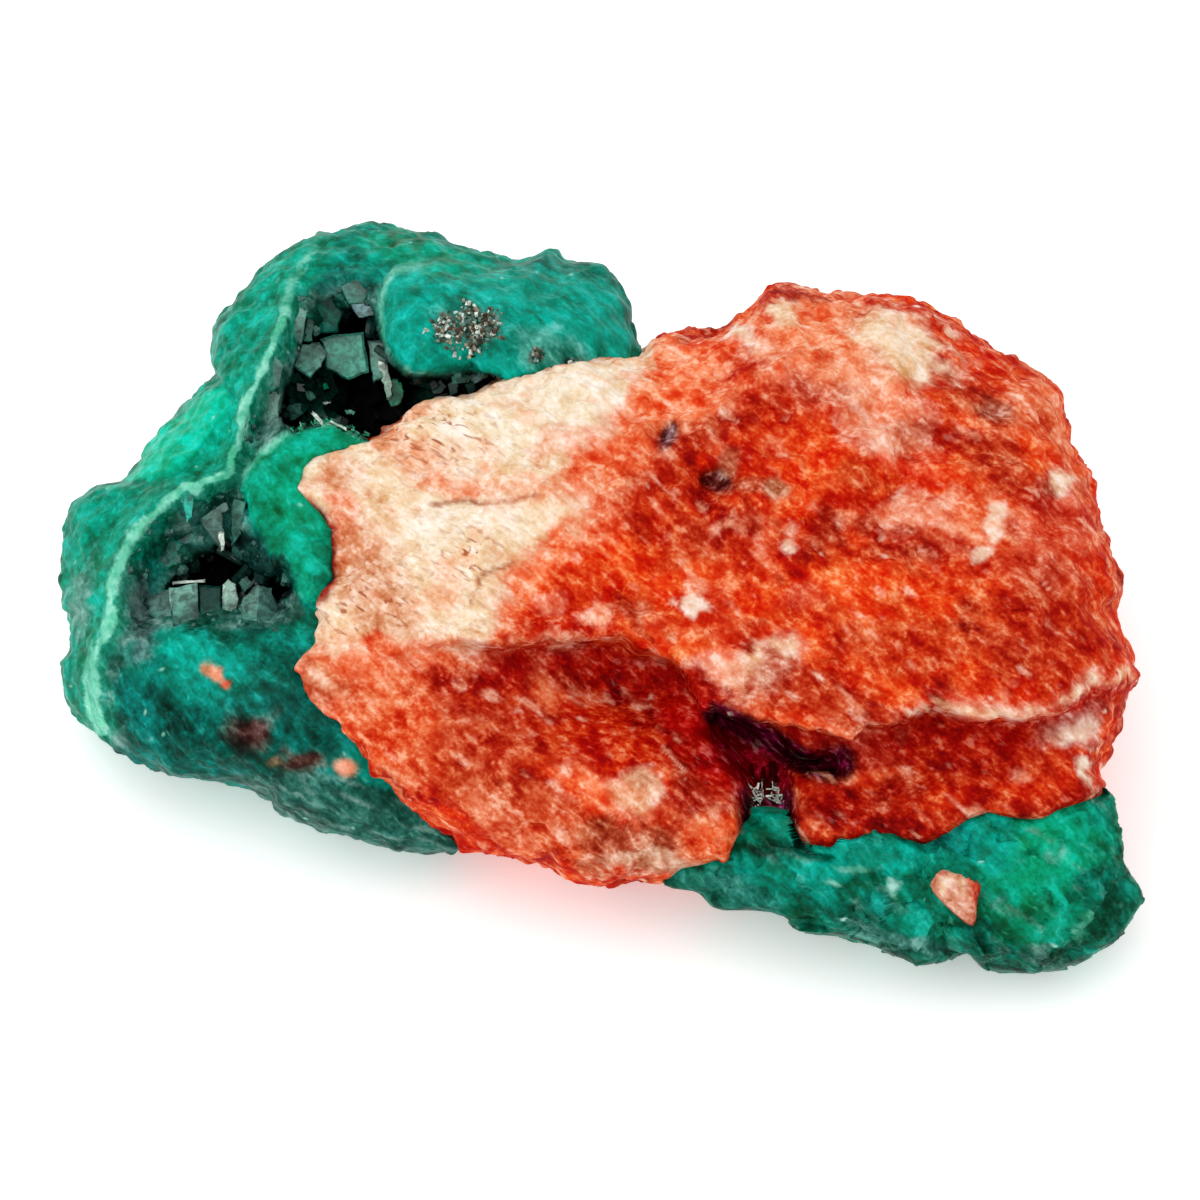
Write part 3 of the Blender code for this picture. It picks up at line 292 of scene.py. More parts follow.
def nearest_on_line(points, across, up, closed=False):
    """Distance from each place to a line of points, and how far along the line it is nearest."""
    knots = np.array(points, dtype=float)
    ends = np.roll(knots, -1, axis=0) if closed else knots[1:]
    spot = np.stack([across, up], axis=1)
    nearest, found, run = np.full(len(spot), np.inf), np.zeros(len(spot)), 0.0
    for first, last in zip(knots, ends):
        side = last - first
        part = np.clip((spot - first) @ side / (side @ side), 0, 1)
        gap = spot - first - part[:, None] * side
        distance = np.hypot(gap[:, 0], gap[:, 1])
        found = np.where(distance < nearest, run + part * np.linalg.norm(side), found)
        nearest = np.minimum(nearest, distance)
        run += np.linalg.norm(side)
    return nearest, found


def line_distance(points, across, up, closed=False):
    """Distance from each place to a line of points."""
    return nearest_on_line(points, across, up, closed)[0]


def depth_inside(outline, across, up):
    """Distance to a closed outline, more than 0 inside it and less than 0 outside."""
    knots = np.array(outline, dtype=float)
    inside = np.zeros(len(across), dtype=bool)
    for first, last in zip(knots, np.roll(knots, -1, axis=0)):
        spans = (first[1] > up) != (last[1] > up)
        crossing = first[0] + (up - first[1]) * (last[0] - first[0]) / (last[1] - first[1] + 1e-12)
        inside ^= spans & (across < crossing)
    return np.where(inside, 1, -1) * line_distance(outline, across, up, closed=True)


def bell(distance, width):
    """A smooth hump, exp(-(distance / width) squared)."""
    return np.exp(-(distance / width) ** 2)


def swelling(across, up, middle_across, middle_up, half_across, half_up, height=1.0):
    """A smooth round swelling: the height times a hump across and a hump up."""
    return height * bell(across - middle_across, half_across) * bell(up - middle_up, half_up)


def ramp(low, high, value):
    """0 at low, 1 at high, and the smooth S of 3tt - 2ttt between."""
    t = np.clip((value - low) / (high - low), 0, 1)
    return t * t * (3 - 2 * t)


def within(outline, across, up, low, high, fray=0):
    """The ramp of how deep inside an outline a place lies, with its edge frayed."""
    return ramp(low, high, depth_inside(outline, across, up) + fray)


HASH_STEPS, HASH_SCALE = np.array([12.9898, 78.233, 37.719]), 43758.5453


def hashed(cell, seed):
    """A fixed number from 0 to 1 for each whole-numbered cell: the part after the point of the
    scaled sine of cell * HASH_STEPS + seed."""
    value = np.sin(cell @ HASH_STEPS + seed) * HASH_SCALE
    return value - np.floor(value)


def waves(spot, size, seed):
    """Smooth noise from -1 to 1: hashed values on a lattice, blended between its corners."""
    scaled = spot / size
    cell = np.floor(scaled)
    part = scaled - cell
    part = part * part * (3 - 2 * part)
    total = np.zeros(len(spot))
    for corner in np.ndindex(2, 2, 2):
        weight = np.prod(np.where(np.array(corner) == 1, part, 1 - part), axis=1)
        total += weight * hashed(cell + np.array(corner), seed)
    return 2 * total - 1


def neighbours(spot, size, seed):
    """The points scattered one to a cell, from the 27 cells round every place: the cell, and the
    offset of the place from its point, in cells."""
    scaled = spot / size
    cell = np.floor(scaled)
    for step in np.ndindex(3, 3, 3):
        other = cell + np.array(step) - 1
        yield other, scaled - other - np.stack([hashed(other, seed + k) for k in range(3)], axis=1)


def nearest_seed(spot, size, seed):
    """The nearest of the scattered points: its distance, offset and cell, in cells."""
    distance = np.full(len(spot), np.inf)
    offset, owner = np.zeros_like(spot), np.zeros_like(spot)
    for other, gap in neighbours(spot, size, seed):
        length = np.linalg.norm(gap, axis=1)
        closer = length < distance
        distance = np.where(closer, length, distance)
        offset = np.where(closer[:, None], gap, offset)
        owner = np.where(closer[:, None], other, owner)
    return distance, offset, owner


def round_top(distance):
    """A round lump about a scattered point: the root of 1 - distance squared, less its mean."""
    return np.sqrt(np.maximum(0, 1 - distance ** 2)) - LUMP_MEAN


def lumps(spot, size, seed):
    """Round lumps, one about each scattered point."""
    return round_top(nearest_seed(spot, size, seed)[0])


def slope_of(owner, seed):
    """Which way the broken face of each cell slopes."""
    return np.stack([hashed(owner, seed + 5 + k) - 0.5 for k in range(3)], axis=1)


def chips(spot, size, seed):
    """Broken faces: each cell slopes its own way, with a step where two meet."""
    offset, owner = nearest_seed(spot, size, seed)[1:]
    return np.sum(offset * slope_of(owner, seed), axis=1) * 2


def broken(spot, size, seed):
    """Broken faces as in chips, blended over a narrow strip where two meet: the mean of the cells'
    slopes, weighed by exp(-BLEND * distance squared)."""
    total, weights = np.zeros(len(spot)), np.full(len(spot), 1e-9)
    for other, gap in neighbours(spot, size, seed):
        weight = np.exp(-BLEND * np.sum(gap * gap, axis=1))
        total += weight * np.sum(gap * slope_of(other, seed), axis=1)
        weights += weight
    return 2 * total / weights


def kind(pattern, spot, values):
    """One kind of roughness: its height times the pattern of its size and seed."""
    height, size, seed = values
    return height * pattern(spot, size, seed)


def wave_sum(spot, stroke, plain_kinds, drawn_kinds):
    """The sum of kinds of waves, the first ones plain and the others drawn out in strokes."""
    return (sum(kind(waves, spot, values) for values in plain_kinds)
            + sum(kind(waves, stroke, values) for values in drawn_kinds))


def sparkle_specks(spot, size, seed, share, radius):
    """1 inside round specks of painted sparkle and 0 outside: of the scattered points, this share has one.
    """
    distance, _, owner = nearest_seed(spot, size, seed)
    own = radius * (0.5 + hashed(owner, seed + 11))
    return (hashed(owner, seed + 12) < share) * (1 - ramp(0.6, 1.0, distance * size / own))


def drawn(spot, degrees, stretch):
    """The place turned in the view's plane and shortened along its new first direction, so that
    noise read there is drawn out into strokes."""
    c, s = math.cos(math.radians(degrees)), math.sin(math.radians(degrees))
    along = (spot[:, 0] * c + spot[:, 1] * s) / stretch
    return np.stack([along, spot[:, 1] * c - spot[:, 0] * s, spot[:, 2]], axis=1)


def even_profile(turn, crown, edge):
    """Share of the reach and of the height at each turn from pole (0) to rim (1).

    The height is (1 - reach ** crown) ** edge, and equal turns are equal lengths along it."""
    share = 1 - (1 - np.linspace(0, 1, PROFILE_STEPS)) ** 3
    height = (1 - share ** crown) ** edge
    length = np.cumsum(np.hypot(np.diff(share, prepend=0), FLATNESS * np.diff(height, prepend=1)))
    share = np.interp(turn * length[-1], length, share)
    return share, (1 - np.minimum(share, 1) ** crown) ** edge


def soft_reach(outline, centre, angle):
    """The reach, averaged over bearings either side, so that an outline's small bumps are gone."""
    return np.mean([reach(outline, centre, angle + math.radians(k)) for k in SOFTENING], axis=0)


def lean(across, up):
    """The rim plane of the specimen."""
    return LEAN_BACK * up + LEAN_SIDE * across


# The form of each mass: its outline and middle, its rim plane, how far its front dome rises and its
# back dome falls from there, and the powers that round a dome at its crown and at its edge
MATRIX_FORM = (
    MATRIX_OUTLINE, MATRIX_CENTRE, lean, MATRIX_FRONT, MATRIX_BACK, MATRIX_CROWN, MATRIX_EDGE)
LEFT_FORM = (LEFT_OUTLINE, LEFT_CENTRE, lean, LEFT_FRONT, LEFT_BACK, LEFT_CROWN, LEFT_EDGE)
LOWER_FORM = (
    LOWER_OUTLINE, LOWER_CENTRE, lambda across, up: LOWER_RIM, LOWER_FRONT, LOWER_BACK, LOWER_CROWN,
    LOWER_EDGE)
CHIP_FORM = (
    CHIP_OUTLINE, CHIP_CENTRE, lambda across, up: CHIP_RIM, CHIP_FRONT, CHIP_BACK, MATRIX_CROWN,
    CHIP_EDGE)


def pillow(squares, form, lift=None):
    """Front and back domes over an outline, which meet at the rim.

    Gives the turn, angle and faces of two_discs, then across, up, out and the share of the reach.
    The rim lies in the rim plane plus lift, and both domes leave it by even_profile."""
    outline, centre, rim, front, back, crown, edge = form
    turn, angle, faces = two_discs(squares)
    share, height = even_profile(np.where(turn <= 1, turn, 2 - turn), crown, edge)
    soft = soft_reach(outline, centre, angle)
    radius = soft + (reach(outline, centre, angle) - soft) * share ** BUMP_POWER
    across = centre[0] + radius * share * np.cos(angle)
    up = centre[1] + radius * share * np.sin(angle)
    lifted = lift(angle) if lift else 0
    out = rim(across, up) + lifted * (1 - height) + np.where(turn <= 1, front, -back) * height
    return turn, angle, faces, across, up, out, share


def outward(turn, angle):
    """Which way a mass grows at each turn and angle: to the viewer, then aside, then away."""
    tilt = turn * np.pi / 2
    return np.stack([np.sin(tilt) * np.cos(angle), np.sin(tilt) * np.sin(angle), np.cos(tilt)], axis=1)


def spread_out(rough, share, is_front, spread):
    """Roughness times the rim's share, plus what a side adds * (1 - share of the reach ** power)."""
    rim, front, back, power = spread
    return rough * (rim + np.where(is_front, front, back) * (1 - share ** power))


def dome_top(across, up, form):
    """How far outward the front dome of a mass lies at a place, and its share of the reach."""
    outline, centre, rim, front, _, crown, edge = form
    angle = np.arctan2(up - centre[1], across - centre[0])
    distance = np.hypot(across - centre[0], up - centre[1])
    soft, whole = soft_reach(outline, centre, angle), reach(outline, centre, angle)
    share = distance / soft
    for _ in range(3):
        share = distance / (soft + (whole - soft) * np.clip(share, 0, 1) ** BUMP_POWER)
    share = np.clip(share, 0, 1)
    return rim(across, up) + front * (1 - share ** crown) ** edge, share


def meeting(across, up):
    """Where the matrix and the lower mass meet: how far a place lies above the line of contact,
    and how far outward they meet there, halfway between their two domes."""
    above = up - np.interp(across, *np.transpose(CONTACT))
    rock, green = dome_top(across, up, MATRIX_FORM)[0], dome_top(across, up, LOWER_FORM)[0]
    return above, 0.5 * (rock + green)


def place(spot):
    """Metres in the row frame of places in the leaning frame, drawn in by the viewer's perspective."""
    across, up, out = spot[:, 0], spot[:, 1], spot[:, 2]
    near = (VIEW_DISTANCE - out) / VIEW_DISTANCE
    sine, cosine = math.sin(VIEW_ELEVATION), math.cos(VIEW_ELEVATION)
    return np.stack([MIDDLE[0] + across * near,
                     MIDDLE[1] + up * near * sine - out * cosine,
                     MIDDLE[2] + up * near * cosine + out * sine], axis=1) * MM


def grounded(points):
    """Points below the resting face, drawn towards the middle of the mass until they lie in it."""
    heart = points[points[:, 2] > 0].mean(axis=0)
    drop = heart[2] / (heart[2] - np.minimum(points[:, 2], 0))
    return heart + (points - heart) * drop[:, None]


def two_discs(count):
    """Two square sheets drawn on to round discs and joined at their rims.

    A square's ring at distance r from its middle becomes the circle of radius r, its sides bent to
    quarter turns. Gives the turn of each point, 0 at the front pole, 1 on the rim and 2 at the back
    pole, its angle, and the squares with their faces outward. A square splits along its first
    diagonal, so in two of the quarters its corners are turned by one to split along the fold."""
    step = np.linspace(-1, 1, count + 1)
    s, t = (side.ravel() for side in np.meshgrid(step, step, indexing="ij"))
    radius = np.maximum(np.abs(s), np.abs(t))
    wide = np.abs(s) >= np.abs(t)
    main = np.where(wide, s, t)
    other = np.where(wide, t, -s) / np.where(main == 0, 1, main)
    angle = np.where(wide, 0, np.pi / 2) + np.pi / 4 * other + np.where(main < 0, np.pi, 0)
    front = np.arange(len(s))
    inner = radius < 1
    back = np.where(inner, len(s) - 1 + np.cumsum(inner), front)

    def squares(index):
        """The corners of every square of a sheet, turned by one in the two crossed quarters."""
        grid = index.reshape(count + 1, count + 1)
        rows = np.stack([grid[:-1, :-1], grid[1:, :-1], grid[1:, 1:], grid[:-1, 1:]], -1)
        low_half = np.arange(count) < count // 2
        crossed = low_half[:, None] != low_half[None, :]
        rows[crossed] = np.roll(rows[crossed], -1, axis=-1)
        return rows.reshape(-1, 4)

    faces = np.concatenate([squares(front), np.roll(squares(back)[:, ::-1], 1, axis=1)])
    return np.concatenate([radius, 2 - radius[inner]]), np.concatenate([angle, angle[inner]]), faces


def piece(name, points, faces, tint, gloss, material, smooth=True):
    """A mesh object from arrays, its colour and gloss kept as attributes that its material reads."""
    mesh = bpy.data.meshes.new(name)
    mesh.from_pydata(points.tolist(), [], [list(face) for face in faces])
    mesh.polygons.foreach_set("use_smooth", np.full(len(faces), smooth))
    colour = mesh.attributes.new("tint", "FLOAT_COLOR", "POINT")
    colour.data.foreach_set("color", np.column_stack([tint, np.ones(len(tint))]).ravel())
    mesh.materials.append(material)
    mesh.update()
    thing = bpy.data.objects.new(name, mesh)
    marked(thing, "gloss", gloss)
    bpy.context.scene.collection.objects.link(thing)
    return thing


def marked(thing, name, amount):
    """A number kept at each point of a mesh object, for its material to read."""
    kept = thing.data.attributes.new(name, "FLOAT", "POINT")
    kept.data.foreach_set("value", np.asarray(amount, dtype=float))


def lay(colour, coat, cover):
    """The colour with a coat over it: colour + (coat - colour) * cover."""
    return colour + (coat - colour) * np.clip(cover, 0, 1)[:, None]


def mottled(colour, mottles, spot, ragged, zone=1):
    """Coats laid where waves rise: colour, cover, size and seed of the waves, how ragged their
    edge is, and the heights between which they start and are whole."""
    for coat, cover, size, seed, fray, low, high in mottles:
        risen = ramp(low, high, waves(spot, size, seed) + fray * ragged)
        colour = lay(colour, coat, cover * zone * risen)
    return colour


def deepened(colour, amount):
    """The colour made deeper and purer where the amount is over 0, and paler below: each part to
    the power 2 ** amount."""
    return np.clip(colour, 1e-4, 1) ** (2.0 ** amount)[:, None]


def warped(spot, seed):
    """Across and up of each place, shifted by waves so that shapes laid there lose their outline."""
    shift = [sum(far * waves(spot, size, seed + step + k) for far, size, step in WARPS)
             for k in range(2)]
    return spot[:, 0] + shift[0], spot[:, 1] + shift[1]


def ovals(colour, patches, across, up, ragged):
    """Coats laid as ovals with ragged soft edges: middle, half sizes, tilt, colour and cover."""
    for a, u, half_a, half_u, degrees, coat, cover in patches:
        c, s = math.cos(math.radians(degrees)), math.sin(math.radians(degrees))
        along, aside = (across - a) * c + (up - u) * s, (up - u) * c - (across - a) * s
        distance = np.hypot(along / half_a, aside / half_u) + OVAL_FRAY * ragged
        colour = lay(colour, coat, cover * (1 - ramp(*OVAL_EDGE, distance)))
    return colour


# Colour patches of the matrix: middle, half sizes, tilt in degrees, colour and cover
MATRIX_PATCHES = (
    (16.0, 17.3, 6.0, 3.4, -10, rgb(238, 152, 110), 0.85), (19.4, 13.0, 4.5, 2.6, -50, PINK, 0.8),
    (20.8, 17.7, 4.4, 1.9, -30, CREAM, 0.9), (12.8, 20.1, 1.4, 1.3, 0, CREAM, 0.85),
    (10.0, 18.0, 0.9, 0.6, 0, IVORY, 0.8), (10.8, 16.8, 1.3, 0.7, -15, PINK, 0.9),
    (6.2, 14.6, 3.6, 3.0, -20, rgb(238, 136, 92), 0.9), (12.5, 13.6, 4.0, 3.0, 0, RED, 0.6),
    (13.2, 14.9, 1.5, 0.9, 0, DEEP_RED, 0.6), (9.7, 12.4, 3.6, 1.0, 25, DEEP_RED, 0.5),
    (27.0, 13.4, 3.6, 1.4, -18, RUST, 0.85), (24.6, 11.0, 4.6, 1.4, -20, DEEP_RED, 0.5),
    (31.0, 12.5, 1.4, 4.6, 25, SALMON, 0.6), (27.2, 9.4, 4.4, 1.8, -30, RUST, 0.7),
    (31.9, 8.0, 1.5, 1.0, 0, CREAM, 0.85), (21.5, 9.0, 6.0, 1.6, -5, ORANGE, 0.6),
    (1.6, 9.6, 3.4, 2.0, 20, SALMON, 0.7), (2.8, 13.4, 2.4, 2.6, 30, SALMON, 0.6),
    (4.0, 7.6, 4.5, 1.2, 5, DEEP_RED, 0.45), (15.0, 10.5, 2.4, 2.4, 30, ORANGE, 0.7),
    (17.8, 8.6, 1.8, 1.2, 0, DEEP_RED, 0.5), (22.0, 5.8, 3.0, 1.2, 0, PINK, 0.75),
    (27.4, 5.2, 3.2, 1.4, -25, SALMON, 0.8), (27.6, 5.6, 0.9, 0.7, 0, IVORY, 0.75),
    (26.8, 3.9, 0.7, 0.5, 0, IVORY, 0.75), (8.8, 5.2, 0.7, 0.5, 0, PINK, 0.7),
    (13.2, 3.6, 0.6, 0.6, 0, IVORY, 0.8), (1.4, 2.8, 3.4, 2.2, 0, ORANGE, 0.75),
    (6.5, 3.6, 3.2, 1.8, 0, RUST, 0.55), (20.5, 3.4, 5.0, 1.3, 5, DEEP_RED, 0.45),
    (17.5, 1.0, 6.0, 1.6, 0, ORANGE, 0.65), (14.0, 0.4, 1.6, 1.2, 0, ROSE, 0.6),
    (31.9, 4.2, 3.0, 3.6, -50, ROSE, 0.55), (25.0, -0.9, 1.6, 1.0, 20, BROWN, 0.5),
    (30.5, -1.6, 5.0, 4.0, -40, RUST, 0.6), (20.8, -2.8, 5.0, 2.4, -10, RUST, 0.6),
    (27.6, -4.2, 2.4, 1.8, 0, RUST, 0.7), (21.0, -8.6, 4.0, 1.3, 5, RUST, 0.8),
    (16.0, 20.0, 3.0, 1.2, -5, SALMON, 0.8), (6.7, -0.5, 1.1, 0.55, 5, IVORY, 0.8),
    (5.2, 0.9, 3.0, 1.3, 10, ORANGE, 0.7), (0.4, -1.0, 1.2, 0.7, 10, PINK, 0.9),
    (-3.1, -0.7, 0.9, 0.8, 0, PINK, 0.8), (-2.8, -3.1, 1.5, 0.7, 15, PINK, 0.85),
    (2.6, -3.9, 1.5, 0.6, -10, PINK, 0.85), (-1.2, 0.6, 2.4, 1.8, 0, RED, 0.6),
    (-4.6, 1.4, 1.8, 2.6, 10, ORANGE, 0.5), (11.4, -4.6, 3.4, 1.3, 22, CREAM, 0.8),
    (14.4, -6.6, 4.5, 1.6, -20, RUST, 0.8), (8.4, -5.4, 2.0, 1.2, -20, PINK, 0.6),
    (9.0, -2.6, 3.4, 1.4, 0, RED, 0.7), (-19.6, -4.3, 1.9, 1.7, 0, rgb(188, 112, 86), 0.95),
    (-19.2, -6.4, 1.5, 2.4, -15, rgb(200, 112, 80), 0.85), (-17.6, -6.3, 2.4, 1.3, -30, TAN, 0.85),
    (-13.9, -8.6, 5.0, 3.2, -40, rgb(214, 92, 50), 0.8), (-8.8, -6.6, 3.4, 2.0, -15, DEEP_RED, 0.75),
    (-10.6, -4.3, 3.8, 1.0, 0, RUST, 0.7), (-5.4, -4.9, 4.4, 1.5, -8, DEEP_RED, 0.8),
    (-3.4, -9.2, 5.0, 1.7, -25, DEEP_RED, 0.65), (-4.2, -5.8, 0.8, 2.2, 5, SALMON, 0.75),
    (0.6, -8.0, 3.6, 2.0, -15, RED, 0.8), (3.4, -7.0, 3.0, 1.4, -20, DEEP_RED, 0.8),
    (3.6, -4.9, 5.4, 1.2, -20, DEEP_RED, 0.85), (6.6, -9.8, 3.4, 3.6, 25, DEEP_RED, 1.0),
    (8.6, -10.8, 2.0, 3.0, 30, CRIMSON, 0.95), (1.4, -10.8, 5.4, 2.0, -15, rgb(186, 34, 4), 1.0),
    (0.4, -5.4, 4.6, 1.8, -15, DEEP_RED, 0.7), (-7.0, -11.4, 5.0, 2.4, -35, RUST, 0.75),
    (-4.6, -15.4, 7.0, 2.4, -20, rgb(206, 104, 66), 0.75), (2.6, -14.0, 2.2, 1.4, -10, CREAM, 0.7),
    (2.4, -17.2, 5.4, 1.7, -5, rgb(170, 84, 56), 0.9), (4.0, -18.3, 3.6, 0.8, 0, CREAM, 0.4),
    (6.8, -13.6, 2.8, 2.6, -60, rgb(164, 44, 28), 0.85), (7.4, -16.4, 2.4, 1.6, 0, SALMON, 0.7),
    (16.0, -14.6, 2.4, 2.4, 0, DEEP_RED, 0.75), (19.4, -12.4, 3.0, 0.7, -8, SALMON, 0.6),
    (18.6, -14.4, 4.8, 1.4, 3, DEEP_RED, 0.8), (17.2, -10.6, 2.6, 1.4, -20, ROSE, 0.6),
    (25.0, -11.0, 6.2, 1.9, -5, DEEP_RED, 0.75), (27.4, -13.6, 5.4, 1.2, 10, RED, 0.6),
    (22.4, -16.4, 6.0, 1.1, 5, DEEP_RED, 0.7), (32.6, -8.9, 2.3, 1.3, 20, IVORY, 0.8),
    (33.6, -11.9, 0.9, 0.7, 0, IVORY, 0.9), (34.4, -13.4, 0.9, 0.9, 0, PINK, 0.9),
)
# Small sharp patches of the matrix: dark crystals with pale glints, and brown ones beside them
MATRIX_SPOTS = (
    (4.8, 11.4, 0.7, 1.3, -25, METAL, 0.9), (4.9, 11.6, 0.25, 0.55, -25, rgb(190, 160, 166), 0.9),
    (8.2, 8.1, 1.3, 0.75, -8, rgb(62, 16, 16), 0.9), (8.5, 8.6, 0.4, 0.3, 0, rgb(190, 150, 140), 0.8),
    (8.9, 9.4, 0.8, 0.9, 0, rgb(176, 120, 90), 0.6), (12.2, 7.7, 0.9, 0.7, 0, rgb(190, 138, 104), 0.8),
    (10.4, 8.0, 1.2, 0.6, 0, BROWN, 0.6), (27.2, 13.2, 1.6, 0.8, -18, rgb(128, 60, 44), 0.7),
)
CREAM_ZONE = (
    (-21.5, 9.8), (-18.0, 11.0), (-13.9, 12.8), (-11.1, 15.0), (-6.9, 16.2), (-1.7, 17.2), (3.0, 17.6),
    (4.2, 16.4), (2.8, 14.9), (1.4, 13.2), (0.0, 11.8), (-1.7, 10.4), (-1.4, 8.3), (-0.7, 6.9), (-2.1, 5.4),
    (-4.2, 3.6), (-6.2, 2.2), (-6.9, 0.0), (-6.6, -2.1), (-8.3, -3.1), (-11.8, -3.5), (-15.3, -3.5),
    (-18.7, -3.8), (-20.5, -2.8), (-20.5, 0.0), (-19.5, 2.8), (-19.7, 5.6), (-21.5, 6.9),
)
CREAM_PATCHES = (
    (-4.5, 13.0, 6.5, 3.4, 15, IVORY, 0.8), (-17.6, 5.0, 1.5, 3.4, 15, rgb(222, 104, 58), 0.8),
    (-16.2, 3.0, 2.4, 2.8, 0, TAN, 0.8), (-18.0, 8.6, 1.6, 1.1, 0, TAN, 0.7),
    (-13.2, 10.2, 4.0, 1.3, -25, rgb(224, 140, 98), 0.6), (-9.0, 5.4, 4.0, 1.8, 5, IVORY, 0.8),
    (-10.2, 7.9, 3.4, 0.7, -5, SALMON, 0.6), (-8.6, 4.6, 3.0, 1.6, -15, CREAM, 0.7),
    (-11.4, 5.0, 2.6, 1.8, 0, IVORY, 0.5), (-15.6, -0.6, 3.4, 2.0, -35, TAN, 0.7),
    (-10.0, -0.8, 2.4, 2.0, 0, CREAM, 0.6), (-3.4, 8.2, 2.6, 0.9, 0, SALMON, 0.5),
    (-3.0, 11.0, 2.0, 1.0, 30, SALMON, 0.35),
)

# Colour patches of the left mass
LEFT_PATCHES = (
    (-28.8, 11.4, 3.0, 2.4, 40, BRIGHT, 0.5), (-35.7, 0.5, 0.7, 3.2, 0, PALE_LINING, 0.6),
    (-36.2, -6.0, 1.4, 3.0, 15, FOREST, 0.35), (-12.0, 24.0, 5.0, 1.2, -5, EMERALD, 0.5),
    (-8.0, 20.0, 6.0, 3.0, 0, TURQUOISE, 0.3), (-2.6, 18.6, 3.6, 2.4, -10, TURQUOISE, 0.75),
    (-3.6, 17.2, 3.0, 1.8, -10, PALE_LINING, 0.35), (-9.0, 17.0, 4.0, 1.2, -5, TEAL, 0.5),
    (-19.4, 7.6, 3.4, 3.0, 0, EMERALD, 0.55), (-18.6, 2.6, 1.6, 3.0, 0, FOREST, 0.4),
    (-26.0, -4.6, 5.0, 2.4, 0, TURQUOISE, 0.4), (-22.0, -5.4, 3.4, 2.4, -20, DARK_TEAL, 0.5),
    (-31.0, -8.4, 5.0, 2.6, -30, DARK_TEAL, 0.8), (-24.0, -9.0, 3.0, 2.4, 0, DARK_TEAL, 0.6),
    (-15.6, -11.6, 3.0, 1.2, -35, TURQUOISE, 0.6), (-13.0, -15.0, 4.0, 1.4, -15, FOREST, 0.7),
    (-20.0, -13.6, 4.0, 1.1, -20, LINING, 0.8), (-24.2, -9.0, 1.8, 1.4, -30, rgb(66, 46, 36), 0.7),
    (-20.8, -11.0, 1.9, 0.8, 20, rgb(60, 40, 30), 0.7), (-4.6, 16.8, 0.6, 0.5, 0, METAL, 0.6),
    (-1.6, 16.4, 0.7, 0.5, 0, METAL, 0.5), (-8.8, 18.9, 2.4, 1.8, -20, LINING, 0.6),
)
# Patches in the basins of the vugs, and the small sharp spots of red and brown stone
BASIN_PATCHES = (
    (-30.0, 3.0, 2.0, 1.3, 20, FOREST, 0.95), (-31.2, 1.8, 1.2, 1.4, 0, DARK_TEAL, 0.7),
    (-24.2, 3.4, 0.9, 1.6, 15, SHADED, 0.9), (-22.6, 1.6, 1.8, 0.8, -20, SHADED, 0.9),
    (-26.8, -2.3, 1.7, 0.9, 0, FOREST, 0.9), (-29.0, -3.0, 2.6, 0.9, 0, TURQUOISE, 0.8),
    (-18.0, 21.6, 2.4, 0.9, 0, DARK_TEAL, 0.7), (-19.0, 19.8, 1.4, 1.2, 0, FOREST, 0.9),
    (-23.2, 13.6, 0.9, 2.5, 0, PALE_LINING, 0.5), (-32.4, 1.0, 0.9, 3.4, 8, rgb(88, 102, 102), 0.7),
    (-31.8, -2.6, 0.9, 2.2, -10, rgb(84, 100, 100), 0.6),
)
LEFT_SPOTS = (
    (-27.2, -4.8, 0.55, 0.5, -20, TAN, 0.9), (-26.5, -5.2, 0.65, 0.45, -30, rgb(232, 156, 124), 0.95),
    (-25.9, -5.8, 0.4, 0.35, -30, rgb(224, 112, 80), 0.9), (-17.7, -11.6, 0.8, 0.6, -20, PINK, 0.95),
    (-24.0, -9.1, 1.6, 1.2, 20, rgb(50, 14, 14), 0.9), (-20.7, -11.2, 1.5, 0.5, 15, rgb(52, 18, 12), 0.9),
    (-22.6, -11.2, 0.6, 0.4, 15, rgb(120, 90, 60), 0.7), (-10.7, 18.9, 0.6, 1.1, 0, rgb(84, 66, 50), 0.85),
    (-8.3, 18.8, 1.1, 0.9, 0, rgb(74, 80, 66), 0.85), (-8.9, 20.2, 0.5, 0.8, 30, rgb(74, 80, 66), 0.85),
    (-4.5, 17.0, 0.4, 0.3, 0, METAL, 0.7),
)
BASINS, MOUTHS, LOBES = (UPPER_BASIN, LOWER_BASIN), (UPPER_MOUTH, LOWER_MOUTH), (BALL, MIDDLE_LOBE)
RIND_ZONE = BAND + ((-34.0, -20.0), (-50.0, -12.0), (-50.0, 34.0), (-19.0, 34.0))
STRIP_ZONE = (
    (-25.0, -12.0), (-20.5, -11.9), (-17.0, -12.4), (-13.5, -13.6), (-9.0, -16.4), (-10.0, -18.5),
    (-24.0, -16.0),
)

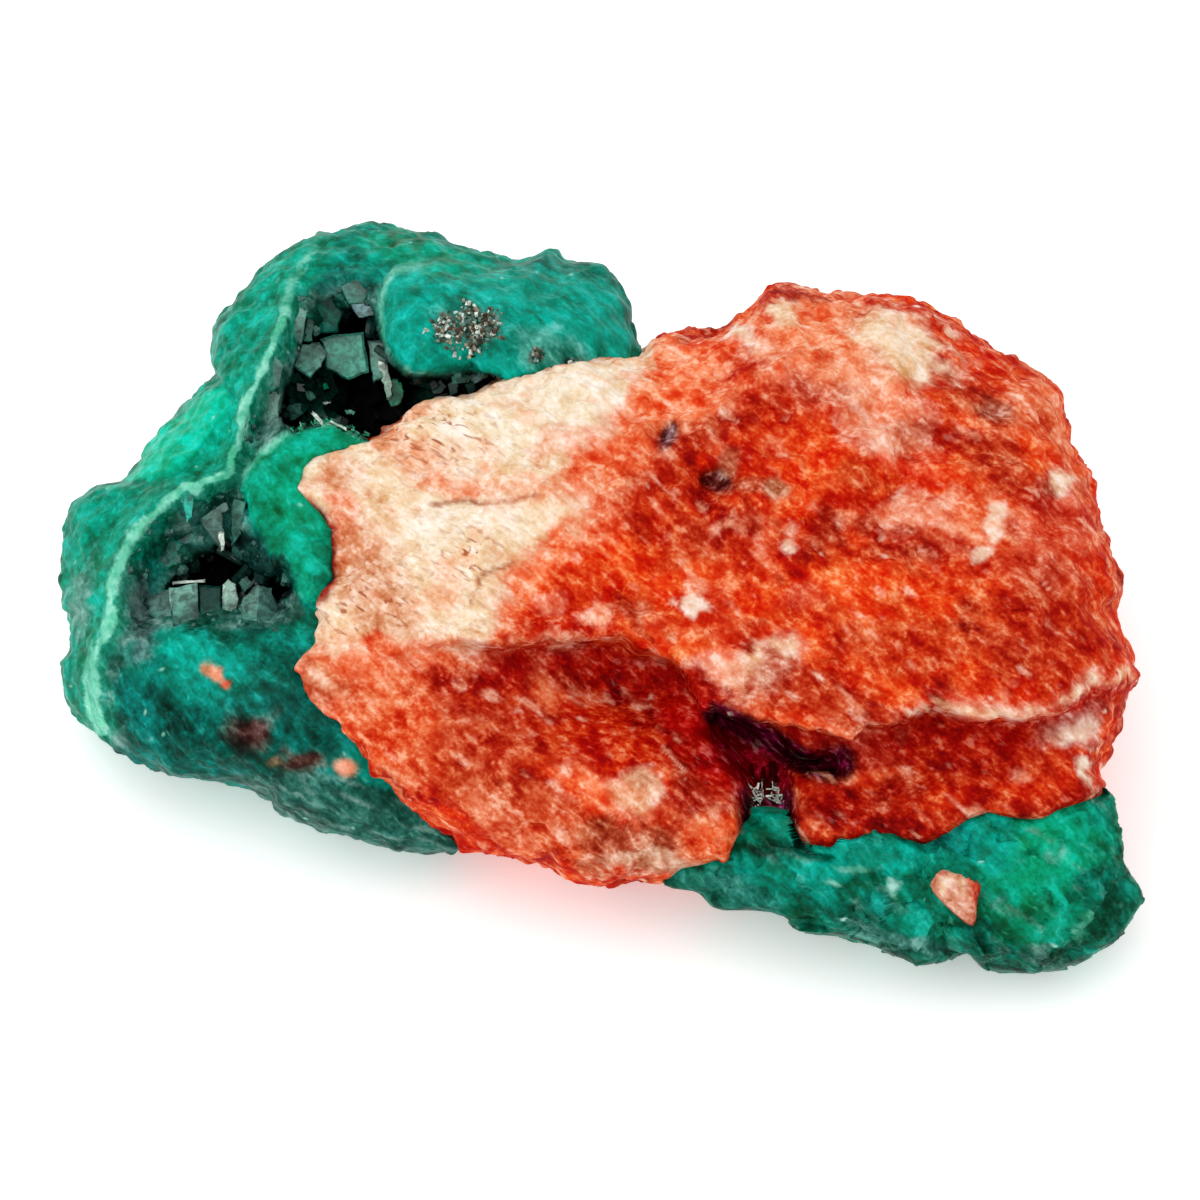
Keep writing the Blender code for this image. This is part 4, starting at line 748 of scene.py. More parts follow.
# Colour patches of the lower mass
LOWER_PATCHES = (
    (31.0, -17.6, 4.6, 2.6, 10, EMERALD, 0.9), (30.0, -22.0, 3.6, 2.6, 0, EMERALD, 0.5),
    (12.4, -18.6, 5.0, 1.3, -5, TURQUOISE, 0.7), (19.0, -17.8, 4.0, 1.3, -10, TURQUOISE, 0.7),
    (24.3, -16.4, 1.6, 0.9, 10, DARK_TEAL, 0.9), (18.6, -22.4, 4.0, 1.1, -15, FOREST, 0.8),
    (9.0, -20.2, 4.0, 1.2, -5, rgb(24, 92, 78), 0.85), (21.0, -23.8, 3.6, 0.9, -10, LINING, 0.8),
    (15.0, -20.4, 3.0, 1.4, -10, TEAL, 0.7), (27.0, -17.0, 2.6, 1.3, -5, TURQUOISE, 0.8),
    (33.6, -22.4, 0.35, 1.9, -20, rgb(110, 200, 170), 0.7), (20.5, -20.1, 0.8, 0.25, -35, PALE_GREEN, 0.7),
    (18.0, -18.4, 1.2, 0.45, -20, rgb(120, 190, 165), 0.6), (16.2, -19.4, 0.7, 0.2, -30, PALE_GREEN, 0.6),
    (12.2, -16.9, 2.0, 0.8, 0, FOREST, 0.9), (35.6, -20.4, 1.4, 3.0, 10, FOREST, 0.5),
    (27.6, -24.6, 2.4, 0.9, 5, FOREST, 0.7), (31.0, -24.6, 1.4, 0.8, -30, PALE_LINING, 0.7),
)

# Mottles: colour, cover, size and seed of the waves, how ragged, and the heights they start between
MATRIX_MOTTLES = (
    (ORANGE, 0.8, 3.4, 34, 0.6, -0.2, 0.5), (SALMON, 0.6, 2.8, 35, 0.7, 0.2, 0.8),
    (DEEP_RED, 0.7, 2.6, 36, 0.7, 0.2, 0.8),
)
CREAM_MOTTLES = ((TAN, 0.35, 1.5, 49, 0.5, 0.3, 0.9), (PINK, 0.4, 2.6, 48, 0.5, 0.2, 0.8))
LEFT_MOTTLES = ((TURQUOISE, 0.6, 3, 54, 0.4, -0.1, 0.8), (DARK_TEAL, 0.6, 2.2, 55, 0.4, 0.0, 0.9))
LOWER_MOTTLES = ((DARK_TEAL, 0.6, 2.4, 74, 0.4, 0.0, 0.9),)

# Waves that fray the edges of colours, and waves that deepen them: first the plain ones and then
# those drawn out in strokes, each with its height, size in mm and seed
MATRIX_FRAY = ((0.6, 2.6, 31),), ((0.6, 0.9, 32), (0.5, 0.4, 33))
MATRIX_DEPTHS = ((0.40, 1.4, 43), (0.3, 0.6, 40)), ((0.45, 0.8, 39), (0.35, 0.4, 37))
LEFT_FRAY = ((0.6, 2.2, 51), (0.5, 0.9, 52)), ((0.4, 0.4, 53),)
LEFT_DEPTHS = ((0.32, 1.4, 59), (0.26, 0.6, 58)), ((0.2, 0.5, 57),)
LOWER_FRAY = ((0.6, 2.2, 71), (0.5, 0.9, 72)), ((0.4, 0.4, 73),)
LOWER_DEPTHS = ((0.25, 0.9, 76),), ((0.25, 0.5, 80),)


def matrix_lip(angle):
    """How far the rim of the matrix stands over the dioptase at its left, by bearing."""
    bearing = np.degrees(np.mod(angle, 2 * np.pi))
    return MATRIX_LIP * ramp(*LIP_START, bearing) * (1 - ramp(*LIP_END, bearing))


def matrix_recess(across, up):
    """How far the front of the matrix lies below its dome, how far a place lies above the ledge,
    and how far it belongs to the cavity and to a pit."""
    above = up - np.interp(across, *np.transpose(LEDGE))
    recess = np.interp(across, *np.transpose(LEDGE_DEPTH))
    level = np.stack([across, up, 0 * up], axis=1)
    brow = above + 0.5 * waves(level, 2.6, 44) + 0.3 * waves(level, 0.9, 45)
    recess *= (1 - ramp(-0.5, 0.5, brow)) * (1 - RECESS_SWELL * ramp(*RECESS_RUN, -above))
    recess += swelling(across, up, *HOLLOW)
    cavity = within(CAVITY, across, up, *CAVITY_WALL)
    recess += CAVITY_DEPTH * cavity
    for crack in CRACKS:
        recess += CRACK_DEPTH * bell(line_distance(crack, across, up), CRACK_WIDTH)
    pits = np.zeros(len(across))
    for pit_across, pit_up, size in PITS:
        pit = swelling(across, up, pit_across, pit_up, size, size)
        pits += pit
        recess += size * pit
    return recess, above, cavity, pits


def cream_quarter(front, spot, across, up, ragged):
    """The cream quarter laid over the matrix with a salmon fringe, its patches, the lines of its
    cracks and its mottles. Also gives how far each place belongs to it."""
    inside = depth_inside(CREAM_ZONE, across, up) + 0.8 * ragged
    cream = ramp(-0.9, 1.1, inside)
    front = lay(front, SALMON, 0.75 * ramp(-2.6, -0.6, inside) * ramp(-8, -4, up))
    quarter = ovals(np.tile(CREAM, (len(spot), 1)), CREAM_PATCHES, across, up, ragged)
    front = lay(front, quarter, cream)
    sway = 0.35 * waves(spot, 1.6, 43)
    for crack in CRACKS:
        gap = line_distance(crack, spot[:, 0] + 0.2 * ragged, spot[:, 1] + sway + 0.1 * ragged)
        front = lay(front, OCHRE, 0.8 * (1 - ramp(0.04, 0.24, gap)))
    return mottled(front, CREAM_MOTTLES, spot, ragged, cream), cream


def cavity_reds(front, spot, across, up, ragged, cavity):
    """The cavity of the matrix: its red and crimson wall, crimson within as painted shade over its own red,
    and plum as painted shade along the shade line and low in the cavity. Also gives how far each place
    belongs to the cavity and to its wall."""
    cavity_shade = ramp(0.02, 0.5, cavity)
    wall = within(CRIMSON_WALL, across, up, -0.8, 1.2, 0.5 * ragged)
    deep = ramp(-0.6, 0.6, waves(spot, 1.4, 84) + 0.25 * (across - 8.5))
    front = lay(front, WALL_RED, 0.9 * wall)
    front = lay(front, CRIMSON, 0.55 * wall * deep)
    # painted shade: crimson laid within the cavity, darkening its own red
    front = lay(front, CRIMSON, 0.92 * cavity_shade)
    shade = line_distance(SHADE_LINE, spot[:, 0], spot[:, 1]) + 0.2 * ragged
    front = lay(front, PLUM, 1 - ramp(0.5, 1.3, shade))
    return lay(front, PLUM, cavity_shade * (1 - ramp(-13.6, -12.4, up))), cavity_shade, wall


def matrix_colour(spot, stroke, turn, above, clear, cavity):
    """Colour of the matrix: red all over with mottles, then the zones and patches that the front
    shows. Also gives how far each place belongs to the cream quarter."""
    across, up = warped(spot, 61)
    ragged = wave_sum(spot, stroke, *MATRIX_FRAY)
    shown = 1 - ramp(*TURNED_AWAY, turn)
    tint = mottled(np.tile(RED, (len(spot), 1)), MATRIX_MOTTLES, spot, ragged)
    front = ovals(tint, MATRIX_PATCHES, across, up, ragged)
    front, cream = cream_quarter(front, spot, across, up, ragged)
    crest = bell(above - 0.6, 0.6) * ramp(17, 24, across)
    front = lay(front, CREAM, 0.85 * crest * ramp(-0.5, 0.4, ragged))
    # painted shade: deep red laid under the ledge, where the recess lies in shadow
    under = (1 - ramp(-0.2, 0.3, above)) * (1 - ramp(0.8, 3.0, -above + ragged)) * ramp(-12, -6, across)
    front = lay(front, SHADE_RED, 0.8 * under)
    # painted shadow: a deep red line along the left edge of the matrix, where it stands over the green
    edge = 1 - within(MATRIX_OUTLINE, spot[:, 0], spot[:, 1], 0.1, 0.7)
    edge = edge * (1 - ramp(5.5, 7.0, up)) * ramp(-1.0, 0.5, up) * (across < 0)
    front = lay(front, DEEP_RED, 0.95 * edge)
    # painted shade: deep red along the foot of the matrix, in the crevice where it meets the lower mass
    foot = (1 - ramp(0.2, 1.6, clear + 0.6 * ragged)) * ramp(12, 14, across) * ramp(-0.6, 0.2, clear)
    front = lay(front, DEEP_RED, 0.7 * foot)
    front, cavity_shade, wall = cavity_reds(front, spot, across, up, ragged, cavity)
    front = ovals(front, MATRIX_SPOTS, spot[:, 0] + 0.25 * ragged, spot[:, 1] + 0.25 * ragged, ragged)
    tint = lay(tint, front, shown)
    dull = 1 - np.maximum(cavity_shade, 0.85 * wall)
    plain = 1 - shown * np.maximum(0.25 * cream, 0.6 * np.maximum(wall, under))
    tint = deepened(tint, wave_sum(spot, stroke, *MATRIX_DEPTHS) * plain)
    # painted highlights: ivory specks of sparkle
    tint = lay(tint, IVORY, 0.7 * sparkle_specks(spot, 1.7, 41, 0.12, 0.2) * dull)
    glints = ramp(0.5, 0.8, waves(stroke, 0.6, 38)) * plain ** 2 * dull
    return lay(tint, PINK, 0.6 * glints), cream * shown


def matrix_rock(material):
    """The rock of matrix: domes over its outline, less the recess under the ledge, the hollow, the
    cavity, cracks and pits, and roughened by waves and broken faces from 11 mm down to half a mm."""
    turn, angle, faces, across, up, out, share = pillow(MATRIX_SQUARES, MATRIX_FORM, matrix_lip)
    is_front = turn <= 1
    recess, above, cavity, pits = matrix_recess(across, up)
    spot = np.stack([across, up, out - recess * is_front * (1 - share ** RELIEF_POWER)], axis=1)
    stroke = drawn(spot, -48, 3.0)
    rough = (kind(waves, spot, MATRIX_WAVES) + kind(broken, spot, MATRIX_CHIPS)
             + kind(waves, spot, MATRIX_RIPPLES))
    rough = spread_out(rough, share, is_front, MATRIX_SPREAD)
    rough += kind(broken, spot, MATRIX_BREAKS) + kind(broken, spot, MATRIX_SPLINTERS)
    rough += kind(waves, stroke, MATRIX_STROKES) + kind(waves, spot, MATRIX_RIM) * share ** RIM_POWER
    spot = spot + outward(turn, angle) * rough[:, None]
    clear, level = meeting(spot[:, 0], spot[:, 1])
    covered = is_front * within(LOWER_OUTLINE, spot[:, 0], spot[:, 1], -0.1, 0.3)
    spot[:, 2] -= covered * np.maximum(0, spot[:, 2] - level - CONTACT_SLOPE * clear)
    points = place(spot)
    tint, cream = matrix_colour(spot, stroke, turn, above, clear, cavity)
    gloss = 0.3 + 0.3 * cavity + 0.35 * np.clip(pits, 0, 1)
    scratched = sum(swelling(spot[:, 0], spot[:, 1], *scratch) for scratch in SCRATCHES)
    rock = piece("matrix_rock", grounded(points), faces, tint, gloss, material)
    marked(rock, "wrinkled", cream * np.clip(0.22 + scratched, 0, 1))
    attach(rock, "root")
    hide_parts("matrix")


def deepest(outlines, across, up):
    """How deep a place lies inside the nearer of two outlines."""
    first, second = (depth_inside(outline, across, up) for outline in outlines)
    return np.maximum(first, second)


def left_relief(across, up):
    """What stands over and sinks below the dome of the left mass: the band, the basins, the lobes."""
    relief = BAND_HEIGHT * bell(line_distance(BAND, across, up), BAND_WIDTH)
    for basin in BASINS:
        relief -= BASIN_DEPTH * within(basin, across, up, *BASIN_SLOPE)
    for lobe, height in zip(LOBES, (BALL_HEIGHT, MIDDLE_LOBE_HEIGHT)):
        climb = np.clip(depth_inside(lobe, across, up) / LOBE_SHOULDER, 0, 1)
        relief += height * np.sqrt(1 - (1 - climb) ** 2)
    relief += SLAB_HEIGHT * within(BRIGHT_SLAB, across, up, -0.2, 0.4)
    return relief + swelling(across, up, *LOWER_LOBE)


def left_rough(spot, share, is_front):
    """Roughness of the left mass: lumps and waves, gentler in front."""
    rough = kind(lumps, spot, LEFT_LUMPS) + kind(waves, spot, LEFT_WAVES)
    return spread_out(rough, share, is_front, LEFT_SPREAD)


def left_top(across, up):
    """How far outward the front of the left mass lies at a place, by its dome and relief."""
    out, share = dome_top(across, up, LEFT_FORM)
    out = out + left_relief(across, up) * (1 - share ** RELIEF_POWER)
    return out + left_rough(np.stack([across, up, out], axis=1), share, share <= 1)


def basin_lining(front, spot, ragged, outside, basin, facet):
    """The grey-green crust of the basins and beside the band, in columns and in facets made lighter
    and darker as painted light, with painted shade round the mouths. Also gives how far each place belongs
    to it."""
    across, up = spot[:, 0], spot[:, 1]
    wide = 1.6 + 1.2 * ramp(-3, 0, up) + 0.5 * ragged
    beside = ramp(0.1, 0.5, -outside) * (1 - ramp(0.8, 1.3, -outside / wide)) * (1 - ramp(20.0, 22.5, up))
    lining = np.maximum(beside, ramp(-0.2, 0.4, basin + 0.3 * ragged))
    lining = lining * (1 - ramp(-0.1, 0.1, deepest(LOBES, across, up)))
    lining = lining * (1 - ramp(-1.5, -2.3, up + 0.3 * ragged) * ramp(-31.5, -30.5, across))
    run = nearest_on_line(BAND, across, up)[1]
    columns = waves(np.stack([run * 3.0, outside * 0.7, 0 * up], axis=1), 1.0, 64)
    # painted light: each facet lighter or darker, as if it met the light its own way
    facet_light = hashed(facet, 71)
    pale = ramp(0.0, 0.8, columns + 0.4 * ragged + 0.8 * facet_light - 0.4)
    front = lay(front, LINING, 0.92 * lining)
    front = lay(front, PALE_LINING, 0.6 * lining * pale)
    front = lay(front, FOREST, 0.6 * lining * ramp(0.5, 0.75, hashed(facet, 65) - 0.2 * columns))
    front = lay(front, SHADED, 0.6 * lining * (1 - ramp(0.08, 0.2, facet_light)))
    shade = ramp(-1.0, 0.1, deepest(MOUTHS, across, up) + 0.5 * ragged)
    return lay(front, SHADED, 0.45 * lining * shade), lining


def mint_lines(front, spot, ragged):
    """The mint band in its bright rind, and thin mint edges on the middle lobe and on the ball."""
    across, up = spot[:, 0], spot[:, 1]
    band = line_distance(BAND, across + 0.4 * ragged, up + 0.35 * waves(spot, 0.8, 66))
    broad = 0.32 + 0.14 * ramp(8, 3, up) + 0.15 * waves(spot, 1.6, 67)
    streak = 0.8 + 0.3 * waves(spot, 0.5, 68)
    front = lay(front, RIND, 0.6 * (1 - ramp(0.8, 1.8, band)))
    front = lay(front, MINT, (1 - ramp(0.7, 1.1, band / broad)) * streak * (1 - 0.6 * ramp(18, 22, up)))
    edge = np.abs(depth_inside(MIDDLE_LOBE, across, up) - 0.1) + 0.15 * ragged
    front = lay(front, MINT, 0.75 * (1 - ramp(0.05, 0.35, edge)) * ramp(8, 10, up))
    nose = np.abs(depth_inside(BALL, across, up) - 0.15) + 0.1 * ragged
    return lay(front, MINT, 0.5 * (1 - ramp(0.05, 0.3, nose)) * ramp(-11, -14, across))


def left_colour(spot, stroke, turn, dark, basin, facet, grape):
    """Colour of the left mass: green in clouds, then the zones that the front shows, from the rind
    to the vugs, painted black as their shade. Also gives how far each place belongs to the crust of the
    basins."""
    across, up = spot[:, 0], spot[:, 1]
    near, high = warped(spot, 63)
    ragged = wave_sum(spot, stroke, *LEFT_FRAY)
    tint = mottled(np.tile(TEAL, (len(spot), 1)), LEFT_MOTTLES, spot, ragged)
    outside = depth_inside(RIND_ZONE, across, up)
    # painted shade: darker teal towards the bottom of the mass, where it turns under
    front = lay(tint, DARK_TEAL, 0.75 * ramp(-3.5, -8.0, up))
    front = lay(front, TURQUOISE, 0.75 * within(BALL, across, up, -0.1, 0.3))
    front = lay(front, EMERALD, 0.6 * within(MIDDLE_LOBE, across, up, -0.1, 0.3))
    front = lay(front, RIND, 0.85 * ramp(0.0, 0.6, outside) * ramp(-1.2, 0.6, ragged))
    front = ovals(front, LEFT_PATCHES, near, high, ragged)
    front = lay(front, BRIGHT, 0.85 * within(BRIGHT_SLAB, across, up, -0.1, 0.25, 0.15 * ragged))
    front, lining = basin_lining(front, spot, ragged, outside, basin, facet)
    front = ovals(front, BASIN_PATCHES, near, high, ragged)
    strip = within(STRIP_ZONE, across, up, -0.3, 0.5, 0.3 * ragged)
    layers = waves(drawn(spot, -22, 8.0), 0.35, 56)
    front = lay(front, STRIP_GREEN, 0.85 * strip)
    front = lay(front, PALE_LINING, 0.5 * strip * ramp(0.0, 0.7, layers))
    front = mint_lines(front, spot, ragged)
    front = ovals(front, LEFT_SPOTS, across + 0.3 * ragged, up + 0.3 * ragged, ragged)
    # painted shade: the insides of the vugs laid black
    front = lay(front, VUG_SHADE_BLACK, ramp(0.02, 0.35, dark))
    tint = lay(tint, front, 1 - ramp(*TURNED_AWAY, turn))
    deep = wave_sum(spot, stroke, *LEFT_DEPTHS) + 0.5 * ramp(0.65, 0.95, grape)
    tint = deepened(tint, deep * (1 - 0.3 * lining) * (1 - dark))
    # painted highlights: pale green specks of sparkle
    return lay(tint, PALE_GREEN, 0.8 * sparkle_specks(spot, 0.9, 60, 0.2, 0.13) * (1 - dark)), lining


def left_mass(material):
    """The left mass: a dome with its relief, whose surface falls to the floor inside each vug and
    keeps below the overhanging rim of the matrix."""
    turn, angle, faces, across, up, out, share = pillow(LEFT_SQUARES, LEFT_FORM)
    is_front = turn <= 1
    out = out + left_relief(across, up) * is_front * (1 - share ** RELIEF_POWER)
    spot = np.stack([across, up, out], axis=1)
    stroke = drawn(spot, -50, 2.5)
    grape = nearest_seed(spot + 0.5 * waves(spot, 1.2, 62)[:, None], *LEFT_GRAPES[1:])[0]
    facet = nearest_seed(spot, *LEFT_FACETS[1:])[2]
    basin = deepest(BASINS, across, up)
    rough = left_rough(spot, share, is_front) + LEFT_GRAPES[0] * round_top(grape)
    rough += kind(broken, spot, LEFT_BREAKS) + kind(waves, spot, LEFT_RIPPLES)
    rough += kind(waves, spot, LEFT_RIM) * share ** RIM_POWER
    rough += kind(chips, spot, LEFT_FACETS) * is_front * ramp(-0.6, 0.3, basin)
    spot = spot + outward(turn, angle) * rough[:, None]
    across, up = spot[:, 0], spot[:, 1]
    shaken = across + 0.3 * waves(spot, 0.8, 17)
    vugs = [is_front * within(mouth, shaken, up, *VUG_WALL) for mouth in MOUTHS]
    for vug, depth, middle in zip(vugs, VUG_FLOORS, MOUTH_MIDDLES):
        bottom = lean(*middle) + depth + 0.5 * waves(spot, 1.5, 16)
        spot[:, 2] += (np.minimum(bottom, spot[:, 2]) - spot[:, 2]) * vug
    bearing = np.arctan2(up - MATRIX_CENTRE[1], across - MATRIX_CENTRE[0])
    ceiling = lean(across, up) + matrix_lip(bearing) - OVERHANG
    covered = is_front * within(MATRIX_OUTLINE, across, up, -0.1, 0.5)
    spot[:, 2] -= covered * np.maximum(0, spot[:, 2] - ceiling)
    points = place(spot)
    # where the vugs lie, painted black as their shade
    dark = np.clip(vugs[0] + vugs[1], 0, 1)
    tint, lining = left_colour(spot, stroke, turn, dark, basin, facet, grape)
    gloss = 0.55 + 0.2 * waves(spot, 2, 61) - 0.2 * lining
    mass = piece("left_dioptase", grounded(points), faces, tint, gloss, material)
    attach(mass, "root")
    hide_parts("dioptase_left")


def lower_mass(material):
    """The lower mass: a dome over its outline with a level rim, lumpy, broken and layered, whose
    upper edge dips under the matrix along the line of contact."""
    turn, angle, faces, across, up, out, share = pillow(LOWER_SQUARES, LOWER_FORM)
    spot = np.stack([across, up, out], axis=1)
    rough = kind(lumps, spot, LOWER_LUMPS) + kind(waves, spot, LOWER_WAVES)
    rough = spread_out(rough, share, turn <= 1, LOWER_SPREAD)
    facet, small = (nearest_seed(spot, *values[1:])[2] for values in (LOWER_FACETS, LOWER_CHIPS))
    fine = (kind(chips, spot, LOWER_FACETS) + kind(chips, spot, LOWER_CHIPS)
            + kind(waves, spot, LOWER_RIPPLES))
    rough += fine * (1 - LOWER_EASED * share ** RIM_POWER)
    spot = spot + outward(turn, angle) * rough[:, None]
    clear, level = meeting(spot[:, 0], spot[:, 1])
    spot[:, 2] -= (turn <= 1) * np.maximum(0, spot[:, 2] - level + CONTACT_SLOPE * clear)
    points = place(spot)

    # Colour: one green with patches and painted shade along its lower brink, each broken face lighter or
    # darker as painted light
    stroke = drawn(spot, -32, 4.0)
    near, high = warped(spot, 79)
    ragged = wave_sum(spot, stroke, *LOWER_FRAY)
    tint = mottled(np.tile(LEDGE_GREEN, (len(spot), 1)), LOWER_MOTTLES, spot, ragged)
    front = ovals(tint, LOWER_PATCHES, near, high, ragged)
    underside_shade = ramp(0.72, 0.95, share + 0.08 * ragged) * ramp(0.4, -0.6, np.sin(angle))
    front = lay(front, FOREST, 0.8 * underside_shade)
    tint = lay(tint, front, 1 - ramp(*TURNED_AWAY, turn))
    deep = wave_sum(spot, stroke, *LOWER_DEPTHS)
    # painted light: each broken face lighter or darker, as if it met the light its own way
    deep += 0.6 * (hashed(facet, 27) - 0.5) + 0.3 * (hashed(small, 28) - 0.5)
    tint = deepened(tint, deep)
    tint = lay(tint, PALE_LINING, 0.3 * ramp(0.5, 0.9, waves(stroke, 0.6, 75) + 0.3 * ragged))
    # painted highlights: glint-coloured specks of sparkle
    tint = lay(tint, GLINT, 0.8 * sparkle_specks(spot, 1.1, 77, 0.2, 0.15))
    gloss = 0.6 + 0.2 * waves(spot, 2, 78)
    mass = piece("lower_dioptase", grounded(points), faces, tint, gloss, material)
    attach(mass, "root")
    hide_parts("dioptase_lower")


def chip(material):
    """The chip of matrix in the lower mass: a small angular dome, chipped, pink with a red edge."""
    turn, _, faces, across, up, out, share = pillow(CHIP_SQUARES, CHIP_FORM)
    spot = np.stack([across, up, out], axis=1)
    spot[:, 2] += (kind(chips, spot, CHIP_FACETS) + kind(waves, spot, CHIP_RIPPLES)) * (turn <= 1)
    ragged = waves(spot, 0.7, 83)
    tint = np.tile(CHIP_PINK, (len(spot), 1))
    tint = lay(tint, CREAM, 0.7 * ramp(-0.1, 0.7, ragged))
    tint = lay(tint, RED, 0.8 * ramp(0.0, 0.5, across - 25.4 + 0.5 * ragged))
    tint = lay(tint, RUST, 0.7 * ramp(0.75, 1.0, share + 0.1 * ragged))
    wedge = piece("pink_chip", place(spot), faces, tint, np.full(len(spot), CHIP_GLOSS), material)
    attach(wedge, "root")
    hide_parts("matrix_chip")


# Crystals. A point's face falls by POINT_SLOPE for each unit outward from the axis
POINT_SLOPE = 1.05
HEX = np.arange(6) * np.pi / 3


def unit(vectors):
    """Vectors made one long."""
    return vectors / np.linalg.norm(vectors, axis=-1, keepdims=True)


def twisted(rng, axes):
    """A random side for each axis, square to it."""
    return unit(np.cross(axes, rng.normal(0, 1, (len(axes), 3))))


def prisms(tips, axes, toward, half_widths, lengths, tint):
    """Six-sided prisms with a three-faced point, all at once: corners, faces and colours.

    Corner k of a ring stands at 60 k degrees round the axis, the first one towards the given side.
    Even corners lie POINT_SLOPE half widths below the tip and odd ones half as far, so that each
    face of the point is a flat rhomb."""
    aside = np.cross(axes, toward)
    spokes = np.cos(HEX)[:, None] * toward[:, None] + np.sin(HEX)[:, None] * aside[:, None]
    spokes = spokes * half_widths[:, None, None]
    drop = POINT_SLOPE * half_widths[:, None] * np.where(np.arange(6) % 2 == 0, 1.0, 0.5)
    ring = tips[:, None] + spokes
    corners = np.concatenate([ring - axes[:, None] * lengths[:, None, None],
                              ring - axes[:, None] * drop[:, :, None], tips[:, None]], axis=1)
    sides = [(k, (k + 1) % 6, 6 + (k + 1) % 6, 6 + k) for k in range(6)]
    point = [(12, 6 + (k - 1) % 6, 6 + k, 6 + k + 1) for k in (0, 2, 4)]
    one = np.array(sides + point + [(0, 5, 4, 3), (0, 3, 2, 1)])
    faces = (one[None] + 13 * np.arange(len(tips))[:, None, None]).reshape(-1, 4)
    return corners.reshape(-1, 3), faces, np.repeat(tint, 13, axis=0)


def jagged(rng, knots):
    """An outline with each edge cut in three and its points moved a little at random."""
    step = (np.roll(knots, -1, axis=0) - knots) / 3
    rows = np.stack([knots, knots + step, knots + 2 * step], axis=1).reshape(-1, 2)
    return rows + rng.normal(0, JAG, rows.shape)


def blocks(table):
    """Blunt crystals, each from the outline of its front face: corners, faces and colours.

    A row is what its heights are measured from, the crust or the rim plane, then the height of its
    face, the slope across and up, the height of its root, its colour and the outline. Each ring of
    BLOCK_RINGS is the outline drawn in towards its middle, at a share of the way from the face to
    the root, with its shade."""
    rng = np.random.default_rng(8)
    corners, faces, tints = [], [], []
    for seat, height, slope_across, slope_up, root, tint, outline in table:
        knots = np.array(outline)
        turned = np.sum(knots[:, 0] * np.roll(knots[:, 1], -1) - np.roll(knots[:, 0], -1) * knots[:, 1])
        knots = jagged(rng, knots if turned > 0 else knots[::-1])
        count, middle = len(knots), knots.mean(axis=0)
        ground = left_top(*middle[:, None])[0] if seat == "crust" else lean(*middle)
        first = sum(map(len, corners))
        side = unit(rng.normal(0, 1, (1, 2)))[0]
        for share, sunk, shade in BLOCK_RINGS:
            ring = middle + (knots - middle) * share
            slope = (ring - middle) @ [slope_across, slope_up] * (1 - sunk)
            out = ground + height - sunk * (height - root) + slope
            # painted light: each face lighter towards a random side
            light = 1 + 0.5 * np.clip((ring - middle) @ side, -1, 1) + rng.normal(0, 0.15, count)
            green = 0.55 * np.clip(-(ring - middle) @ (0.4, 0.7), 0, 1) + rng.uniform(0, 0.15, count)
            corners.append(np.column_stack([ring, out]))
            coat = lay(np.tile(tint, (count, 1)), TEAL, green)
            tints.append(coat * (shade * np.clip(light, 0.3, 1.6))[:, None])
        row = range(count)
        last = first + (len(BLOCK_RINGS) - 1) * count
        faces.append([first + k for k in row])
        faces.append([last + k for k in reversed(row)])
        for low in range(first, last, count):
            faces += [[low + k, low + count + k, low + count + (k + 1) % count, low + (k + 1) % count]
                      for k in row]
    return np.concatenate(corners), faces, np.concatenate(tints)


def crystal_piece(name, parts, material, gloss, node=None):
    """A piece of crystals, joined from parts, that rides on the root and may stand for a node."""
    first = np.cumsum([0] + [len(corners) for corners, _, _ in parts])
    faces = [[int(k) + int(start) for k in face]
             for (_, part, _), start in zip(parts, first) for face in part]
    corners = np.concatenate([part[0] for part in parts])
    tint = np.concatenate([part[2] for part in parts])
    made = piece(name, place(corners), faces, tint, np.full(len(tint), gloss), material, smooth=False)
    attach(made, "root")
    if node:
        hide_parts(node)


def scattered(rng, count, outline, keep_in, keep_out):
    """Random places inside one outline and outside another, by trial."""
    spots = rng.uniform(np.min(outline, axis=0), np.max(outline, axis=0), (count, 2))
    kept = depth_inside(outline, spots[:, 0], spots[:, 1]) > keep_in
    kept &= depth_inside(keep_out[0], spots[:, 0], spots[:, 1]) < keep_out[1]
    return spots[kept]


def lining_crystals(rng, spots, heart, sizes, sink):
    """Small crystals that stand on the basin at these places and lean towards its heart."""
    count = len(spots)
    half = rng.uniform(*sizes, count)
    inward = unit(np.array(heart) - spots + rng.normal(0, 1.2, (count, 2)))
    axes = unit(np.column_stack([inward * rng.uniform(0.1, 1.1, count)[:, None], np.ones(count)]))
    rise = rng.uniform(0.4, 1.3, count) * half
    tips = np.column_stack([spots, left_top(spots[:, 0], spots[:, 1]) + rise - sink])
    twist = twisted(rng, axes)
    shade = rng.uniform(0, 1, count)[:, None]
    tint = LINING * (0.35 + 0.75 * shade) + PALE_LINING * 0.25 * shade
    return prisms(tips, axes, twist, half, half * 3.0 + 0.6, tint)


